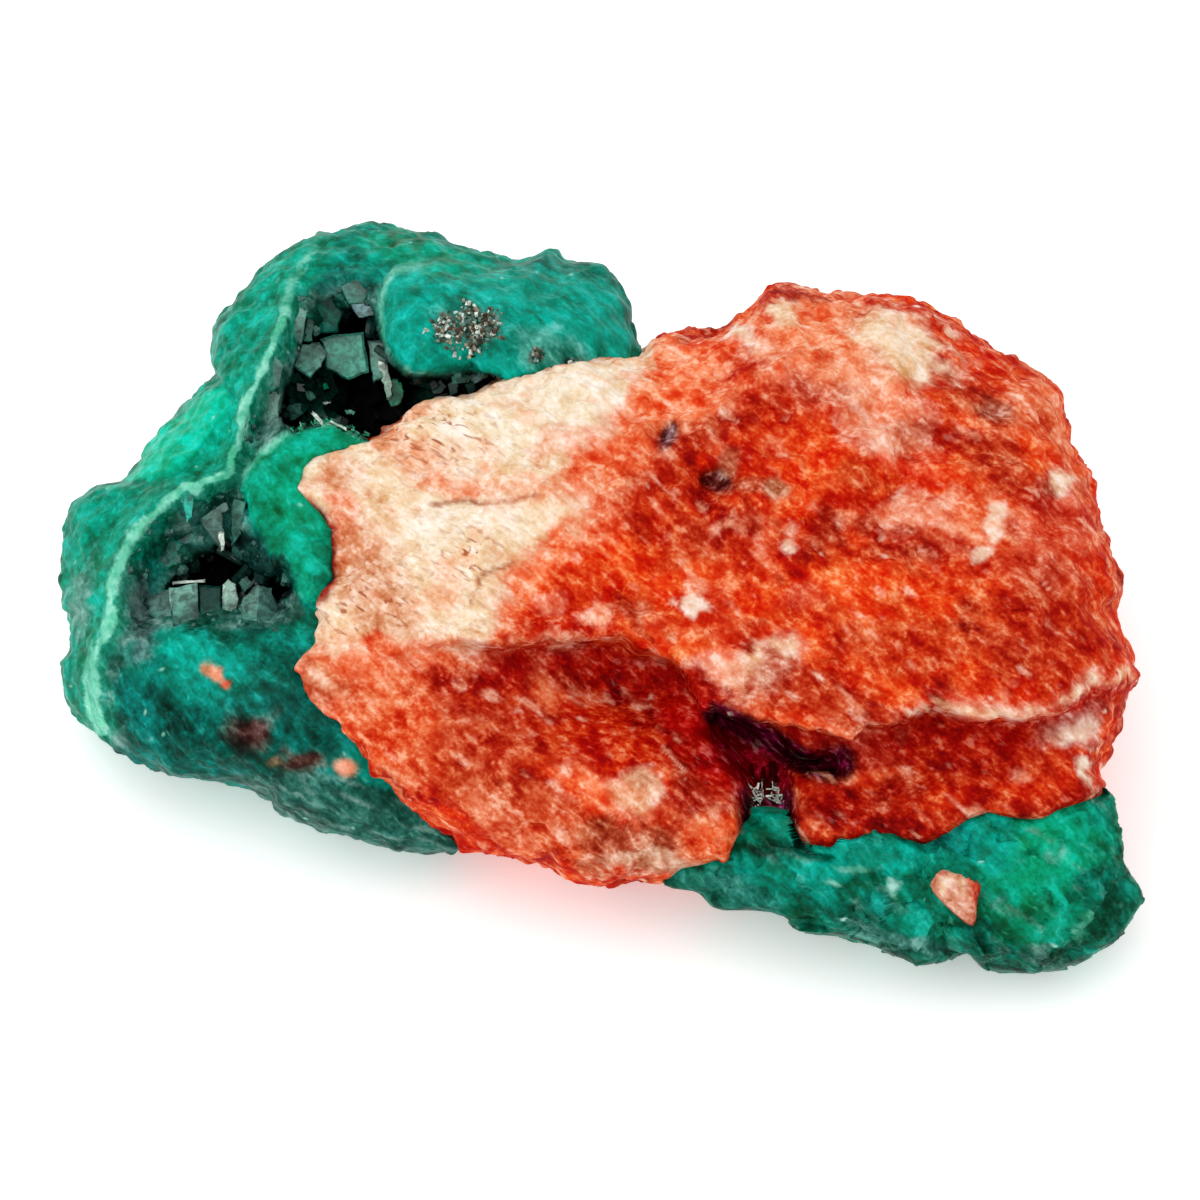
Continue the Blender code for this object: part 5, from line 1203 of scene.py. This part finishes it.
def wall_crystals(rng, count, mouth, heart, base, floor, sizes):
    """Crystals that grow from the wall of a vug into it, darker the deeper they stand, as painted shade."""
    curve = closed_curve(mouth)
    spots = curve[rng.integers(0, len(curve), count)] + rng.normal(0, 0.25, (count, 2))
    half = rng.uniform(*sizes, count)
    deep = rng.uniform(0.1, 1, count)
    top = left_top(spots[:, 0], spots[:, 1])
    inward = unit(np.array(heart) - spots + rng.normal(0, 1.5, (count, 2)))
    axes = unit(np.column_stack([inward, rng.uniform(0.1, 1.2, count)]))
    out = top - 0.5 - deep * (top - base - floor)
    tips = np.column_stack([spots + inward * rng.uniform(0.1, 1.0, count)[:, None], out])
    twist = twisted(rng, axes)
    tint = LINING * (0.8 - 0.78 * np.sqrt(deep))[:, None] * rng.uniform(0.4, 1.0, count)[:, None]
    return prisms(tips, axes, twist, half, half * 3.0 + 1.2, tint)


JAG = 0.05                              # mm that a point of an outline is moved at random
# Each ring's shade is painted light: the edge ring lighter as a painted highlight, the sides darker towards
# the root as painted shade
BLOCK_RINGS = ((0.90, 0.0, 1.0), (1.0, 0.03, 1.15), (0.98, 0.2, 0.35), (0.8, 1.0, 0.04))
HEARTS = ((-14.5, 14.6), (-26.0, 1.8))  # where the crystals of each vug lean
VUG_GLOSS, BALL_GLOSS = 0.9, 0.85
POCKET_TRIES = 760                      # crystals tried in the pocket, of which most fall inside it

# The crystals that stand out, as blocks() reads them
UPPER_BLOCKS = (
    ("rim", 4.4, 0.06, -0.10, -3.4, JADE,
     ((-19.4, 18.2), (-16.4, 18.6), (-16.0, 15.8), (-17.5, 15.2), (-18.9, 16.0), (-19.0, 16.9))),
    ("rim", 4.7, -0.15, 0.10, -3.4, GREY,
     ((-20.7, 17.7), (-19.4, 17.9), (-18.9, 17.1), (-19.4, 16.2), (-20.1, 15.4), (-21.3, 16.2))),
    ("rim", 4.3, 0.30, -0.05, -3.4, GREY,
     ((-16.1, 18.0), (-15.1, 18.0), (-14.8, 16.6), (-15.0, 15.4), (-15.7, 15.1), (-15.9, 16.0))),
    ("rim", 4.6, 0.30, -0.05, -3.4, rgb(160, 186, 168),
     ((-15.3, 16.8), (-14.8, 16.4), (-14.4, 14.9), (-14.4, 14.1), (-14.8, 13.9), (-15.0, 14.9),
      (-15.2, 15.8))),
    # painted highlight: a thin frost-white block along the edge of the pale prism
    ("rim", 4.9, 0.30, 0.10, 2.0, FROST,
     ((-15.5, 16.6), (-15.0, 16.5), (-14.9, 15.9), (-15.3, 15.8))),
    ("rim", 4.0, 0.10, 0.10, -3.4, rgb(0, 92, 54),
     ((-14.6, 15.3), (-14.1, 15.4), (-13.6, 14.8), (-13.6, 14.1), (-14.0, 13.4), (-14.5, 13.4),
      (-14.8, 14.0))),
    ("rim", 4.2, -0.30, 0.30, 2.0, rgb(10, 170, 112),
     ((-14.1, 15.3), (-13.8, 15.0), (-13.6, 14.5), (-13.9, 14.7))),
    ("rim", 2.2, 0.10, 0.20, -3.4, DULL,
     ((-21.9, 13.5), (-20.8, 13.7), (-20.6, 12.9), (-21.5, 12.4))),
    ("crust", 0.1, 0.20, -0.05, -3.0, GREY,
     ((-23.4, 14.0), (-22.7, 14.5), (-22.1, 14.2), (-22.3, 12.5), (-22.9, 11.5), (-23.6, 12.1))),
    ("crust", 0.1, 0.30, -0.10, -3.0, DULL,
     ((-23.2, 16.6), (-22.6, 17.0), (-22.0, 16.2), (-22.2, 14.7), (-22.9, 14.6))),
    ("crust", 0.5, 0.25, 0.10, -3.0, GREY,
     ((-21.6, 18.7), (-20.8, 20.3), (-20.3, 20.0), (-20.7, 17.7), (-21.3, 17.9))),
    ("crust", 0.3, -0.10, 0.10, -3.0, DULL,
     ((-20.3, 19.6), (-19.8, 19.3), (-20.0, 17.9), (-20.5, 17.9))),
    ("crust", 0.1, 0.20, 0.30, -5.0, rgb(10, 84, 68),
     ((-20.5, 20.8), (-18.7, 21.0), (-17.9, 20.0), (-18.2, 18.6), (-19.5, 18.5), (-20.2, 19.3))),
    ("crust", 0.3, 0.10, -0.20, -3.0, DULL,
     ((-18.0, 21.7), (-16.9, 22.2), (-16.0, 21.5), (-16.2, 20.5), (-17.5, 20.6))),
    ("crust", 0.1, 0.10, -0.30, -3.0, LILAC,
     ((-17.3, 20.5), (-15.5, 20.7), (-15.5, 19.8), (-16.9, 19.6))),
    ("rim", 2.6, 0.20, 0.10, -3.4, DIM,
     ((-11.8, 15.0), (-11.1, 15.3), (-10.6, 14.9), (-11.1, 14.2), (-11.7, 14.4))),
    ("rim", 2.8, 0.10, 0.10, -3.4, DEEP,
     ((-10.6, 15.1), (-10.0, 15.2), (-9.8, 14.4), (-10.5, 14.1))),
    ("rim", 5.2, 0.10, 0.10, 0.0, LILAC,
     ((-9.4, 15.8), (-8.7, 16.8), (-7.7, 16.5), (-7.8, 15.5), (-8.7, 14.9))),
    ("rim", 6.0, 0.10, 0.10, 0.0, PINK,
     ((-7.4, 16.0), (-6.9, 16.8), (-6.0, 16.6), (-5.7, 15.8), (-6.4, 15.1), (-7.1, 15.2))),
    ("rim", 3.4, -0.10, 0.10, -3.4, DEEP,
     ((-9.4, 14.9), (-8.9, 15.1), (-8.5, 14.6), (-9.2, 14.2))),
    ("rim", 1.6, 0.20, 0.20, -3.4, DEEP,
     ((-21.9, 15.6), (-20.9, 15.9), (-20.4, 15.0), (-21.2, 14.4))),
    ("rim", 1.2, 0.30, 0.30, -3.4, DIM,
     ((-21.6, 14.6), (-20.4, 15.0), (-19.8, 13.9), (-20.7, 12.8), (-21.6, 13.2))),
    ("rim", 0.6, -0.20, 0.40, -3.4, DIM,
     ((-19.8, 15.4), (-18.6, 15.6), (-18.1, 14.4), (-19.2, 13.7))),
    ("rim", 2.8, 0.40, 0.20, -3.4, rgb(0, 130, 84),
     ((-19.25, 15.05), (-18.95, 15.15), (-18.8, 14.7), (-19.15, 14.6))),
    ("rim", 2.6, 0.30, 0.10, -3.4, DULL,
     ((-20.6, 14.5), (-20.0, 14.6), (-19.7, 14.1), (-20.1, 13.8))),
    ("rim", 3.0, -0.20, 0.20, -3.4, FROST,
     ((-19.25, 13.75), (-18.7, 13.75), (-18.65, 13.65), (-19.1, 13.55))),
    ("rim", 3.2, -0.20, 0.20, -3.4, MINT,
     ((-17.7, 13.15), (-17.2, 13.2), (-17.1, 12.9), (-17.55, 12.85))),
    ("crust", 0.5, 0.30, -0.30, -2.0, FROST,
     ((-20.1, 13.0), (-19.9, 13.1), (-19.1, 12.3), (-19.3, 12.1))),
    ("crust", 0.5, 0.10, 0.30, -2.0, FROST,
     ((-18.8, 12.4), (-18.7, 12.5), (-17.6, 11.9), (-17.6, 11.8))),
)
LOWER_BLOCKS = (
    ("crust", 1.0, 0.25, -0.70, -3.0, SLATE,
     ((-31.5, 0.0), (-30.6, 0.5), (-29.8, 0.8), (-29.6, -1.8), (-30.4, -1.7), (-31.2, -0.9))),
    ("crust", 1.1, -0.15, -0.75, -3.0, GREY,
     ((-29.85, 0.85), (-28.0, 1.1), (-27.8, -1.5), (-28.8, -2.1), (-29.65, -1.9))),
    ("crust", 0.3, 0.00, -0.75, -4.0, DIM,
     ((-27.9, 1.0), (-26.3, 0.9), (-26.2, -2.0), (-27.7, -2.1))),
    ("crust", 0.9, 0.25, -0.60, -4.0, rgb(150, 178, 164),
     ((-26.2, 1.0), (-25.8, 1.4), (-25.2, 1.0), (-25.1, -0.4), (-25.6, -1.1), (-26.2, -0.7))),
    ("crust", 1.1, 0.20, -0.70, -3.0, GREY,
     ((-25.0, -0.4), (-24.2, 0.9), (-23.6, 1.0), (-23.8, -2.1), (-24.7, -1.7))),
    ("crust", 1.0, -0.30, -0.75, -3.0, SLATE,
     ((-23.65, 1.0), (-22.8, 0.9), (-22.3, -0.5), (-23.1, -2.0), (-23.85, -2.1))),
    ("crust", -0.2, 0.10, 0.10, -4.0, DULL,
     ((-25.1, 1.3), (-24.5, 1.7), (-24.0, 1.1), (-24.7, 0.5))),
    ("crust", 0.6, 0.10, -0.10, -3.0, GREY,
     ((-28.0, 6.7), (-26.2, 7.2), (-25.5, 6.9), (-25.6, 5.0), (-26.3, 3.4), (-27.1, 4.4), (-27.8, 5.6))),
    ("crust", 0.5, -0.30, -0.10, -3.0, DULL,
     ((-25.4, 6.9), (-24.6, 6.8), (-24.7, 5.0), (-25.5, 3.6), (-25.6, 5.2))),
    ("crust", 1.0, 0.10, -0.30, -2.0, FROST,
     ((-26.4, 4.7), (-26.1, 4.8), (-26.0, 3.5), (-26.3, 3.3))),
    ("crust", 1.0, 0.10, -0.30, -2.0, TURQUOISE,
     ((-28.9, 7.2), (-28.2, 7.3), (-28.3, 6.1), (-28.7, 5.3))),
    ("crust", 0.0, 0.30, -0.30, -3.0, rgb(6, 76, 64),
     ((-31.4, 3.2), (-30.0, 4.4), (-28.7, 3.8), (-29.4, 2.2), (-30.9, 1.9))),
    ("crust", 0.0, 0.20, -0.30, -3.0, rgb(20, 90, 80),
     ((-29.4, 4.2), (-28.4, 4.8), (-27.4, 4.0), (-28.2, 3.2), (-29.0, 3.0))),
    # painted highlight: a thin frost-white strip along the top edge of the grey plate
    ("crust", 0.7, 0.00, -0.10, -1.0, FROST,
     ((-29.6, 1.25), (-27.4, 1.45), (-27.4, 1.3), (-29.6, 1.05))),
)


def deep_crystals(rng, count, mouth, floor, low, high):
    """Dim crystals that fill a part of a vug, from its floor to half way up, darker the lower they stand as
    painted shade.
    """
    spots = rng.uniform(low, high, (count, 2))
    spots = spots[depth_inside(mouth, spots[:, 0], spots[:, 1]) > 0.1]
    count = len(spots)
    rise = rng.uniform(0, 1, count)
    half = rng.uniform(0.3, 0.8, count)
    axes = unit(np.column_stack([rng.normal(0, 0.6, (count, 2)), np.ones(count)]))
    tips = np.column_stack([spots, lean(spots[:, 0], spots[:, 1]) + floor + 0.6 + 4.5 * rise])
    twist = twisted(rng, axes)
    tint = (DEEP * 0.9 + LINING * 0.25) * (0.04 + 0.5 * rise ** 2)[:, None]
    return prisms(tips, axes, twist, half, half * 3 + 1, tint)


def edge_needles(rng, count):
    """White and green splinters along the upper edge of the middle lobe."""
    start = rng.uniform(0, 1, count)
    spots = np.column_stack([-21.4 + 5.4 * start, 11.2 + 1.0 * np.sin(np.pi * start ** 0.8)])
    spots = spots + rng.normal(0, 0.22, (count, 2))
    axes = unit(np.column_stack([rng.normal(0.8, 0.6, count), rng.normal(-0.3, 0.5, count),
                                 rng.uniform(0, 0.6, count)]))
    tips = np.column_stack([spots, left_top(spots[:, 0], spots[:, 1]) + rng.uniform(0.0, 0.25, count)])
    twist = twisted(rng, axes)
    half = rng.uniform(0.03, 0.08, count)
    kinds = np.array([FROST, GLOW, EMERALD, DEEP, JADE])
    return prisms(tips, axes, twist, half, rng.uniform(0.2, 0.5, count),
                  kinds[rng.choice(5, count, p=(0.12, 0.28, 0.25, 0.2, 0.15))])


def vug_crystals(rng, material):
    """The crystals of both vugs: those that stand out, a lining of small ones, and dark ones on the
    walls."""
    vugs = (
        ("upper_vug_druse", "upper_vug_crystals", UPPER_BASIN, UPPER_MOUTH, UPPER_BLOCKS, 240, 90),
        ("lower_vug_druse", "lower_vug_crystals", LOWER_BASIN, LOWER_MOUTH, LOWER_BLOCKS, 160, 60),
    )
    for number, (name, node, basin, mouth, table, tries, walls) in enumerate(vugs):
        spots = scattered(rng, tries, basin, 0.3, (mouth, 0.3))
        parts = [
            blocks(table),
            lining_crystals(rng, spots, HEARTS[number], (0.14, 0.4), 0.15),
            wall_crystals(rng, walls, mouth, HEARTS[number], lean(*MOUTH_MIDDLES[number]),
                          VUG_FLOORS[number], (0.25, 0.7)),
        ]
        if number == 0:
            parts.append(deep_crystals(rng, 60, mouth, VUG_FLOORS[0], (-22.2, 11.8), (-18.6, 17.6)))
            parts.append(deep_crystals(rng, 70, mouth, VUG_FLOORS[0], (-11.8, 13.4), (-6.0, 15.6)))
            parts.append(edge_needles(rng, 60))
        crystal_piece(name, parts, material, VUG_GLOSS, node)


def pocket_crystals(rng, material):
    """The dark crystals of the matrix cavity, with white ones near its foot and green below."""
    spots = rng.uniform((9.6, -15.8), (13.9, -12.4), (POCKET_TRIES, 2))
    spots = spots[depth_inside(CAVITY, spots[:, 0], spots[:, 1]) > 0.1]
    count = len(spots)
    half = rng.uniform(0.10, 0.30, count)
    white = (rng.uniform(0, 1, count) < 0.66) & (spots[:, 1] < -13.0) & (spots[:, 1] > -15.1)
    white &= np.abs(spots[:, 0] - 11.6) > 0.25
    green = spots[:, 1] < -14.9
    axes = unit(np.column_stack([rng.normal(0, 0.9, (count, 2)), np.where(white, 0.4, 1.2)]))
    twist = twisted(rng, axes)
    tips = np.column_stack([spots, lean(11.8, -13.5) + rng.uniform(0.8, 3.0, count) + 1.4 * white])
    tint = np.where(white[:, None], FROST, np.where(green[:, None], FOREST * 0.7, CRIMSON * 0.25))
    half = np.where(white, half * 0.3, half)
    group = prisms(tips, axes, twist, half, np.where(white, 0.5, half * 3 + 0.8), tint)
    crystal_piece("pocket_druse", [group], material, VUG_GLOSS, "pocket_crystals")


# Grains on the ball, in clumps: middle across and up, spread, and how many
BALL_CLUMPS = (
    (-10.7, 18.9, 0.45, 150), (-9.2, 20.0, 0.4, 120), (-8.7, 18.9, 0.5, 160), (-7.6, 19.1, 0.4, 130),
    (-8.8, 17.8, 0.35, 70), (-9.8, 18.2, 0.5, 60), (-4.5, 17.0, 0.2, 20), (-1.7, 16.4, 0.2, 16),
)


def ball_druse(rng, material):
    """A patch of tiny white, grey and brown crystals on the ball of the left mass."""
    spots = np.concatenate([rng.normal((a, u), spread, (grains, 2))
                            for a, u, spread, grains in BALL_CLUMPS])
    count = len(spots)
    half = rng.uniform(0.04, 0.15, count)
    axes = unit(rng.normal(0, 1, (count, 3)) + (0, 0, 0.3))
    twist = twisted(rng, axes)
    top = left_top(spots[:, 0], spots[:, 1])
    tips = np.column_stack([spots, top + half * rng.uniform(0.3, 1.2, count)])
    kinds = np.array([FROST, GREY, DEEP, SEPIA, SAND, OLIVE])
    tint = kinds[rng.choice(6, count, p=(0.26, 0.26, 0.14, 0.1, 0.14, 0.1))]
    group = prisms(tips, axes, twist, half, half * 3.2, tint)
    crystal_piece("ball_druse", [group], material, BALL_GLOSS)


def node(tree, node_type, inputs=(), **settings):
    """A shader node with its settings; each input is a value or another node's output."""
    made = tree.nodes.new(node_type)
    for name, value in settings.items():
        setattr(made, name, value)
    for name, value in dict(inputs).items():
        if isinstance(value, bpy.types.NodeSocket):
            tree.links.new(value, made.inputs[name])
        else:
            made.inputs[name].default_value = value
    return made


def new_material(name):
    """A node material, its tree and its Principled shader."""
    material = bpy.data.materials.new(name)
    material.use_nodes = True
    return material, material.node_tree, material.node_tree.nodes["Principled BSDF"]


def set_all(shader, values):
    """Constant values on a shader's own sockets."""
    for name, value in values.items():
        shader.inputs[name].default_value = value


def stroke_coordinates(tree, degrees, stretch):
    """Object coordinates turned into the leaning frame and drawn out along a direction in it."""
    coordinates = node(tree, "ShaderNodeTexCoord")
    turned = node(tree, "ShaderNodeMapping", {
        "Vector": coordinates.outputs["Object"],
        "Rotation": (VIEW_ELEVATION - math.pi / 2, 0, -math.radians(degrees))})
    drawn_out = node(tree, "ShaderNodeMapping", {
        "Vector": turned.outputs["Vector"], "Scale": (1 / stretch, 1, 1)})
    return coordinates.outputs["Object"], drawn_out.outputs["Vector"]


def noise(tree, vector, size, detail=3.0, roughness=0.6, distortion=0.0):
    """Noise whose largest waves are this many mm."""
    made = node(tree, "ShaderNodeTexNoise", {
        "Vector": vector, "Scale": 1 / (size * MM), "Detail": detail, "Roughness": roughness,
        "Distortion": distortion})
    return made.outputs["Fac"]


def ranged(tree, value, low, high, to_low, to_high):
    """A value moved from one range to another, and kept in it."""
    made = node(tree, "ShaderNodeMapRange", {
        "Value": value, "From Min": low, "From Max": high, "To Min": to_low, "To Max": to_high})
    return made.outputs["Result"]


def mixed(tree, factor, first, second, blend="MIX"):
    """Two colours mixed."""
    made = node(tree, "ShaderNodeMix", data_type="RGBA", blend_type=blend)
    for socket, value in zip((made.inputs[0], made.inputs[6], made.inputs[7]), (factor, first, second)):
        if isinstance(value, bpy.types.NodeSocket):
            tree.links.new(value, socket)
        else:
            socket.default_value = value
    return made.outputs[2]


def attribute(tree, name, output):
    """What a mesh attribute gives."""
    return node(tree, "ShaderNodeAttribute", attribute_name=name).outputs[output]


def added(tree, values):
    """The sum of some values."""
    total = values[0]
    for value in values[1:]:
        total = node(tree, "ShaderNodeMath", {0: total, 1: value}, operation="ADD").outputs[0]
    return total


def deeper(tree, colour, power):
    """A colour raised to a power: a high one makes it deep and pure, and a low one pale."""
    return node(tree, "ShaderNodeGamma", {"Color": colour, "Gamma": power}).outputs["Color"]


def bumped(tree, shader, height, strength, distance):
    """Fine relief on a shader."""
    bump = node(tree, "ShaderNodeBump", {
        "Height": height, "Strength": strength, "Distance": distance * MM})
    tree.links.new(bump.outputs["Normal"], shader.inputs["Normal"])


def shine(tree, shader, dull, glossy):
    """Roughness that falls from dull to glossy with the mesh's gloss."""
    gloss = attribute(tree, "gloss", "Fac")
    tree.links.new(ranged(tree, gloss, 0, 1, dull, glossy), shader.inputs["Roughness"])


def layered_colour(tree, coordinates, stroke_noise, plain_noise, grain, depths, coat, share, lights):
    """The mesh's tint made deeper and paler by strokes, patches and grains, under a pale coat where
    the strokes are low. Gives the colour, the strokes and the patches."""
    plain, stroke = coordinates
    strokes, patches = noise(tree, stroke, *stroke_noise), noise(tree, plain, *plain_noise)
    grains = ranged(tree, noise(tree, plain, 0.28, 1, 0.5), 0.3, 0.7, -grain, grain)
    depth = ranged(tree, added(tree, (strokes, patches, grains)), *depths)
    tint = deeper(tree, attribute(tree, "tint", "Color"), depth)
    pale = mixed(tree, share, tint, (*coat, 1))
    return mixed(tree, ranged(tree, strokes, *lights), tint, pale), strokes, patches


def stone_finish(name):
    """The matrix: sugary stone in strokes and grains, and dull."""
    material, tree, shader = new_material(name)
    coordinates = stroke_coordinates(tree, -42, 2.6)
    colour, strokes, patches = layered_colour(
        tree, coordinates, (0.5, 2, 0.55, 0.2), (1.3, 3, 0.55, 0.3), 0.12, (0.7, 1.3, 0.5, 1.65),
        IVORY, 0.35, (0.40, 0.26, 0, 0.28))
    folds = noise(tree, stroke_coordinates(tree, -33, 7.0)[1], 0.34, 1, 0.5, 0.5)
    wrinkles = node(tree, "ShaderNodeMath", {
        0: ranged(tree, folds, 0.56, 0.70, 0, 0.9), 1: attribute(tree, "wrinkled", "Fac")},
        operation="MULTIPLY").outputs[0]
    tree.links.new(mixed(tree, wrinkles, colour, (*WRINKLE, 1)), shader.inputs["Base Color"])
    shine(tree, shader, 0.8, 0.15)
    pebbles = noise(tree, coordinates[0], 0.7, 1, 0.5, 0.6)
    bumped(tree, shader, added(tree, (strokes, patches, pebbles)), 0.42, 0.16)
    set_all(shader, {"IOR": 1.5, "Specular IOR Level": 0.03})
    return material


def dioptase_finish(name):
    """Massive dioptase: green with clouds and veins, and a waxy broken gloss."""
    material, tree, shader = new_material(name)
    colour, veins, clouds = layered_colour(
        tree, stroke_coordinates(tree, -50, 3.0), (0.6, 2, 0.55, 0.6), (1.7, 3, 0.55, 0.5), 0.1,
        (0.72, 1.28, 0.7, 1.45), MINT, 0.5, (0.36, 0.24, 0, 0.2))
    tree.links.new(colour, shader.inputs["Base Color"])
    shine(tree, shader, 0.7, 0.15)
    bumped(tree, shader, added(tree, (clouds, veins)), 0.18, 0.16)
    set_all(shader, {
        "IOR": 1.66, "Specular IOR Level": 0.03, "Subsurface Weight": 0.1,
        "Subsurface Radius": (0.15, 1.0, 0.7), "Subsurface Scale": 0.6 * MM})
    return material


def crystal_finish(name, transmission):
    """Clear dark crystal: glassy faces with faint growth lines and clouds inside."""
    material, tree, shader = new_material(name)
    plain = stroke_coordinates(tree, 0, 1.0)[0]
    clouds = noise(tree, plain, 0.6, 3, 0.6, 0.8)
    lines = noise(tree, plain, 0.16, 2, 0.5)
    shades = ranged(tree, clouds, 0.35, 0.65, 1.6, 0.45)
    tint = mixed(tree, 1.0, attribute(tree, "tint", "Color"), shades, "MULTIPLY")
    tree.links.new(tint, shader.inputs["Base Color"])
    tree.links.new(ranged(tree, clouds, 0.3, 0.7, 0.08, 0.28), shader.inputs["Roughness"])
    bumped(tree, shader, lines, 0.25, 0.03)
    set_all(shader, {"IOR": 1.66, "Specular IOR Level": 0.08, "Transmission Weight": transmission})
    return material


# The stage
FLOOR_HALF, FLOOR_DROP = 2.0, 0.05      # metres from its middle to a side, and mm below the specimen
SENSOR_WIDTH = 36                       # mm, of the camera
KEY_TOWARD, KEY_DISTANCE, KEY_SIZE, KEY_WATTS = (-0.35, -0.35, 1.0), 0.6, 0.5, 1.2    # metres
SKY_STRENGTH = 0.92


def floor():
    """A plain pale floor."""
    material, _, shader = new_material("floor_finish")
    set_all(shader, {"Base Color": (0.96, 0.96, 0.96, 1), "Roughness": 0.9,
                     "Emission Color": (1, 1, 1, 1), "Emission Strength": 0.3})
    half = FLOOR_HALF
    mesh = bpy.data.meshes.new("floor")
    mesh.from_pydata([(-half, -half, 0), (half, -half, 0), (half, half, 0), (-half, half, 0)], [],
                     [(0, 1, 2, 3)])
    mesh.materials.append(material)
    ground = bpy.data.objects.new("floor", mesh)
    ground.location.z = cad_low.z - FLOOR_DROP * MM
    bpy.context.scene.collection.objects.link(ground)


def lamp(name, toward, distance, size, watts):
    """A soft square lamp that looks at the middle of the specimen from a direction."""
    light = bpy.data.lights.new(name, "AREA")
    light.energy, light.size = watts, size
    thing = bpy.data.objects.new(name, light)
    aim = Vector(MIDDLE * MM)
    way = Vector(toward).normalized()
    thing.location = aim + way * distance
    thing.rotation_euler = way.to_track_quat("Z", "Y").to_euler()
    bpy.context.scene.collection.objects.link(thing)


def view_and_light():
    """The camera at the photograph's place, and soft light from above it."""
    outward = Vector((0, -math.cos(VIEW_ELEVATION), math.sin(VIEW_ELEVATION)))
    camera = bpy.data.cameras.new("camera")
    camera.sensor_width = SENSOR_WIDTH
    camera.lens = SENSOR_WIDTH * VIEW_DISTANCE / VIEW_WIDTH
    camera.clip_start = 0.01
    viewer = bpy.data.objects.new("camera", camera)
    viewer.location = Vector(MIDDLE * MM) + outward * VIEW_DISTANCE * MM
    viewer.rotation_euler = outward.to_track_quat("Z", "Y").to_euler()
    bpy.context.scene.collection.objects.link(viewer)
    bpy.context.scene.camera = viewer
    world = bpy.data.worlds.new("studio")
    world.use_nodes = True
    set_all(world.node_tree.nodes["Background"], {"Color": (1, 1, 1, 1), "Strength": SKY_STRENGTH})
    bpy.context.scene.world = world
    lamp("key_lamp", KEY_TOWARD, KEY_DISTANCE, KEY_SIZE, KEY_WATTS)
    bpy.context.scene.view_settings.view_transform = "Standard"


stone = stone_finish("matrix_finish")
green = dioptase_finish("dioptase_finish")
clear = crystal_finish("crystal_finish", 0.2)
matrix_rock(stone)
left_mass(green)
lower_mass(green)
chip(stone)
vug_crystals(np.random.default_rng(5), clear)
pocket_crystals(np.random.default_rng(6), clear)
ball_druse(np.random.default_rng(7), clear)
floor()
view_and_light()
